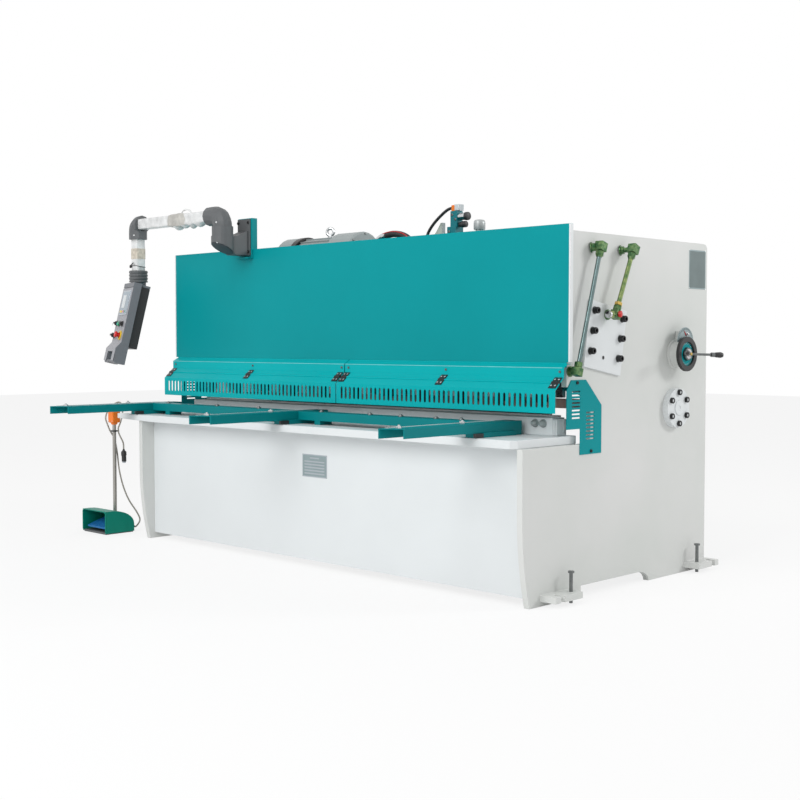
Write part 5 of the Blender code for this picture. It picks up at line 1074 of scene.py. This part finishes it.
def buildKnob(name, across, z, radius, height, look, bar):
    face, wide = box["face"], radius * 1.12
    boxPiece(name + "_collar", "blackPlastic", (addPlaced, frontPlace(across, face - 0.0006, z), (
        addLathe, (0, 0, 0), zAxis, [(radius * 0.9, 0.005), (wide, 0.003), (wide, 0.0)], 28)))
    parts = [(addLathe, (0, 0, 0.003), zAxis, [
        (radius * 0.70, height), (radius * 0.84, height * 0.82), (radius * 0.86, 0.0)], 28)]
    if bar:
        long, thick = radius * 0.98, radius * 0.32
        parts.append((addBox, (-long, -thick, 0.004), (long, thick, height + 0.010)))
    boxPiece(name, look, (addPlaced, frontPlace(across, face, z), *parts), edge=0.0006)


def buildBoxControls():
    for name, values in knobs.items():
        buildKnob(name, *values)
    face = box["face"]
    boxPiece("mode_selector_mark", "whiteKey", (
        addBox, (-0.092, face - 0.0275, -0.275), (-0.084, face - 0.0250, -0.262)))
    boxPiece("stop_button_ring", "yellowKey", (
        addPlaced, Matrix.Translation((0.055, face, -0.330)) @ Matrix.Rotation(math.radians(-90), 4, "Z"),
        (addRing, (0, 0, 0), 0.0200, 0.0275, 0.0004, 0.0065, 0.0010)))


buildBoxFace()
buildBoxControls()
print("control box")


# drive unit on the tank: motor trim and terminal box
drive = {"y": 0.750, "tankTop": 1.4555, "motorZ": 1.6003, "fanGapX": -0.871, "slots": 24, "slotTurn": 15,
         "bellX": -0.364, "bolts": 8, "boltTurn": 45, "boltPitchR": 0.131, "eyeX": -0.649, "eyeZ": 1.7575,
         "eyeR": 0.0088, "eyeFoot": 1.712, "boxLow": (-0.720, -0.175, 1.560), "boxHigh": (-0.600, -0.112, 1.650),
         "boxScrews": ((-0.712, 1.568), (-0.712, 1.642), (-0.608, 1.568), (-0.608, 1.642))}


def buildMotorTrim():
    y, z, eyeX, front = drive["y"], drive["motorZ"], drive["eyeX"], drive["boxLow"][1]
    # a black ring where the fan cover meets the body: painted shade in the gap
    makePiece("motor_fan_gap_painted_shade", "blackOxide", (addRing, (drive["fanGapX"], y, z), 0.116, 0.1362, 0.0, 0.040))
    makePiece("motor_fan_slots", "blackOxide", (
        addFan, Matrix.Translation((0, y, z)), drive["slots"], drive["slotTurn"],
        (addBox, (-0.996, -0.003, 0.040), (-0.9945, 0.003, 0.105))))
    makePiece("motor_bell_bolts", "boltSteel", (
        addFan, Matrix.Translation((drive["bellX"], y, z)), drive["bolts"], drive["boltTurn"],
        (addPlaced, Matrix.Translation((0, 0, drive["boltPitchR"])) @ outward, (addHex, 0.0062, 0.005))))
    eye = [Vector((eyeX + 0.0195 * math.cos(turn), y + 0.008 * math.cos(turn),
                   drive["eyeZ"] + 0.0205 * math.sin(turn)))
           for turn in (math.tau * step / 32 for step in range(32))]
    makePiece("motor_eyebolt", "chrome", (addTube, eye, drive["eyeR"], 14, True), (
        addLathe, (eyeX, y, drive["eyeFoot"]), zAxis,
        [(0.0075, 0.030), (0.0085, 0.018), (0.0165, 0.014), (0.0165, 0.0)], 24))
    low, high = [(x, y + ahead, level) for x, ahead, level in (drive["boxLow"], drive["boxHigh"])]
    makePiece("motor_terminal_box", "motorPaint", (addBox, low, high), edge=0.004)
    makePiece("terminal_box_screws", "chrome", *[
        (addPlaced, frontPlace(x, y + front, level), (addScrew, 0.004, 0.002, 0, 12))
        for x, level in drive["boxScrews"]])


# hose and cable between ports on the tank, by x and z
lines = {
    "pressure_hose": {"radius": 0.0180, "look": "hoseBlack", "stiffness": "stiff", "stops": (
        (-0.330, 1.4555), (-0.327, 1.545), (-0.303, 1.636), (-0.242, 1.695), (-0.145, 1.7160), (-0.048, 1.695),
        (0.013, 1.636), (0.037, 1.545), (0.040, 1.4555))},
    "valve_cable": {"radius": 0.0080, "look": "blackPlastic", "stiffness": "medium", "stops": (
        (0.086, 1.4555), (0.088, 1.560), (0.095, 1.640), (0.114, 1.702), (0.152, 1.748), (0.205, 1.789),
        (0.256, 1.818), (0.300, 1.826))}}
junction = {"plate": ((0.134, 1.4558), (0.190, 1.4558), (0.190, 1.757), (0.178, 1.757), (0.146, 1.712),
                      (0.134, 1.700)), "front": 0.030, "back": 0.034, "top": 1.757}


def buildHose(name):
    line = lines[name]
    path = smoothPath([(x, drive["y"], z) for x, z in line["stops"]], 10)
    hose = makePiece(name, line["look"], (addTube, path, line["radius"], 20))
    return path


def buildLines():
    y, base = drive["y"], drive["tankTop"]
    path = buildHose("pressure_hose")
    makePiece("pressure_hose_stripes", "red", *[
        (addTube, [point + Vector((0, aside, 0.0125)) for point in path[32:62]], 0.0030, 8)
        for aside in (-0.0132, 0.0132)])
    makePiece("pressure_hose_sleeve", "chrome", (
        addTube, path[22:36], lambda share: 0.0215 if 0.1 < share < 0.86 else 0.0195, 24))
    ends = [lines["pressure_hose"]["stops"][index][0] for index in (0, -1)]
    makePiece("pressure_hose_fittings", "zincNut", *[(addLathe, (x, y, base), zAxis, [
        (0.0195, 0.060), (0.0215, 0.050), (0.0215, 0.034), (0.026, 0.033), (0.026, 0.012), (0.021, 0.011),
        (0.021, 0.0)], 6) for x in ends], edge=0.0008)
    buildHose("valve_cable")
    makePiece("junction_plate", "palePlate", (
        addPrism, junction["plate"], "Y", y + junction["front"], y + junction["back"]), edge=0.0008)
    makePiece("junction_plate_post", "motorPaint",
              (addBox, (0.1895, y + 0.026, base + 0.0003), (0.1930, y + 0.050, junction["top"])),
              (addBox, (0.134, y + 0.026, base + 0.0002), (0.193, y + 0.060, base + 0.0042)), edge=0.0006)


# valve block with its coil, knob and plug, and the breather beside it
valve = {"x": 0.307, "upX": 0.3165, "lowHalf": 0.030, "upHalf": 0.023, "step": 1.7253, "top": 1.8060,
         "coilZ": 1.7760, "knobZ": 1.7355, "canX": 0.4735, "canR": 0.0300, "canLow": 1.7000, "neckR": 0.0200}


def buildValve():
    y, base, top = drive["y"], drive["tankTop"] + 0.0002, valve["top"]
    low, up, x, upX = valve["lowHalf"], valve["upHalf"], valve["x"], valve["upX"]
    makePiece("valve_block", "pumpPaint", (addBox, (x - low, y - low, base), (x + low, y + low, valve["step"])), (
        addBox, (upX - up, y - up, valve["step"] - 0.0010), (upX + up, y + up, top)), edge=0.0015,
        hides=("valve_stack",))
    side = upX + up
    makePiece("valve_coil", "chrome", (addLathe, (side - 0.001, y, valve["coilZ"]), xAxis, [
        (0.0200, 0.044), (0.0200, 0.032), (0.0188, 0.031), (0.0188, 0.014), (0.0200, 0.013), (0.0200, 0.0)], 28))
    makePiece("valve_caps", "blackPlastic", (addLathe, (side + 0.0425, y, valve["coilZ"]), xAxis, [
        (0.012, 0.020), (0.0205, 0.017), (0.0215, 0.012), (0.0215, 0.0)], 28), (
        addLathe, (side - 0.001, y, valve["knobZ"]), xAxis, [
            (0.010, 0.048), (0.0165, 0.045), (0.0170, 0.020), (0.0130, 0.018), (0.0130, 0.0)], 28), edge=0.0006)
    makePiece("valve_plug_seal", "orange", (addBox, (0.2960, y - 0.018, top - 0.0005), (0.3190, y + 0.018, 1.8370)),
              edge=0.002)
    makePiece("valve_plug_cap", "screenPale", (addBox, (0.3180, y - 0.020, top + 0.001), (0.3500, y + 0.020, 1.8400)),
              edge=0.003)
    makePiece("valve_port_plugs", "boltSteel", *[
        (addPlaced, frontPlace(spot, y - half, z), (addScrew, 0.0070, 0.003, 0.55, 20))
        for spot, z, half in ((0.3065, 1.786, up), (0.3290, 1.762, up), (0.2920, 1.700, low))])
    canX, canLow, r = valve["canX"], valve["canLow"], valve["canR"]
    makePiece("breather_neck", "canPaint", (addRod, (canX, y, base), (canX, y, canLow + 0.001), valve["neckR"], 28), (
        addLathe, (canX, y, base), zAxis, [(0.031, 0.006), (0.032, 0.005), (0.032, 0.0)], 28),
        hides=("breather_can",))
    makePiece("breather_cap", "canPaint", (addLathe, (canX, y, canLow), zAxis, [
        (r * 0.5, 0.052), (r * 0.82, 0.049), (r * 0.97, 0.041), (r, 0.032), (r, 0.004), (r - 0.002, 0.0)], 36))


buildMotorTrim()
buildLines()
buildValve()
print("drive unit")


# foot pedal: tread ribs, hood rim, pole collar, the stop box's screws and cap, rubber feet
pedal = {"x": -1.770, "poleY": 0.024, "treadFront": -0.105, "treadTop": 0.040, "rise": 0.33, "ribs": 12,
         "ribStep": 0.0078, "hoodY": -0.1205, "hoodHalf": 0.1215, "hoodFoot": 0.014, "hoodTop": 0.1335,
         "hoodShoulder": 0.124, "rimR": 0.0034, "boxScrews": ((-0.019, 0.658), (-0.019, 0.718), (0.019, 0.658),
                                                              (0.019, 0.718)),
         "feet": ((-0.105, -0.100), (-0.105, 0.055), (0.105, -0.100), (0.105, 0.055))}


def buildPedal():
    x, poleY = pedal["x"], pedal["poleY"]
    slope = surfacePlace((x, pedal["treadFront"], pedal["treadTop"]), xAxis, (0, 1, pedal["rise"]))
    makePiece("tread_ribs", "blueTread", (addRow, slope, pedal["ribs"], (0, pedal["ribStep"], 0), (
        addBox, (-0.086, 0.006, -0.0005), (0.086, 0.0095, 0.0018))), body="pedal_tread", edge=0.0004)
    half, foot, top, shoulder = pedal["hoodHalf"], pedal["hoodFoot"], pedal["hoodTop"], pedal["hoodShoulder"]
    rim = [(x + aside, pedal["hoodY"], z) for aside, z in (
        (-half, foot), (-half, shoulder), (-0.112, top), (0.112, top), (half, shoulder), (half, foot))]
    makePiece("pedal_hood_rim", "greenPlastic", (addTube, roundedPath(rim, 0.006, 5), pedal["rimR"], 12))
    makePiece("pedal_pole_collar", "brass", (addLathe, (x, poleY, 0.0124), zAxis, [
        (0.0118, 0.052), (0.0145, 0.048), (0.0145, 0.012), (0.020, 0.010), (0.020, 0.0)], 24), edge=0.0005)
    makePiece("stop_box_screws", "chrome", *[
        (addPlaced, frontPlace(x + aside, poleY - 0.027, z), (addScrew, 0.0032, 0.0015, 0, 12))
        for aside, z in pedal["boxScrews"]])
    makePiece("stop_box_cap", "blackPlastic", (addLathe, (x, poleY, 0.7325), zAxis, [
        (0.006, 0.0075), (0.013, 0.006), (0.0145, 0.0)], 24))
    makePiece("pedal_rubber_feet", "blackPlastic", *[
        (addLathe, (x + aside, y, 0.0), zAxis, [(0.008, 0.0118), (0.009, 0.0)], 16) for aside, y in pedal["feet"]])


buildPedal()
print("pedal")
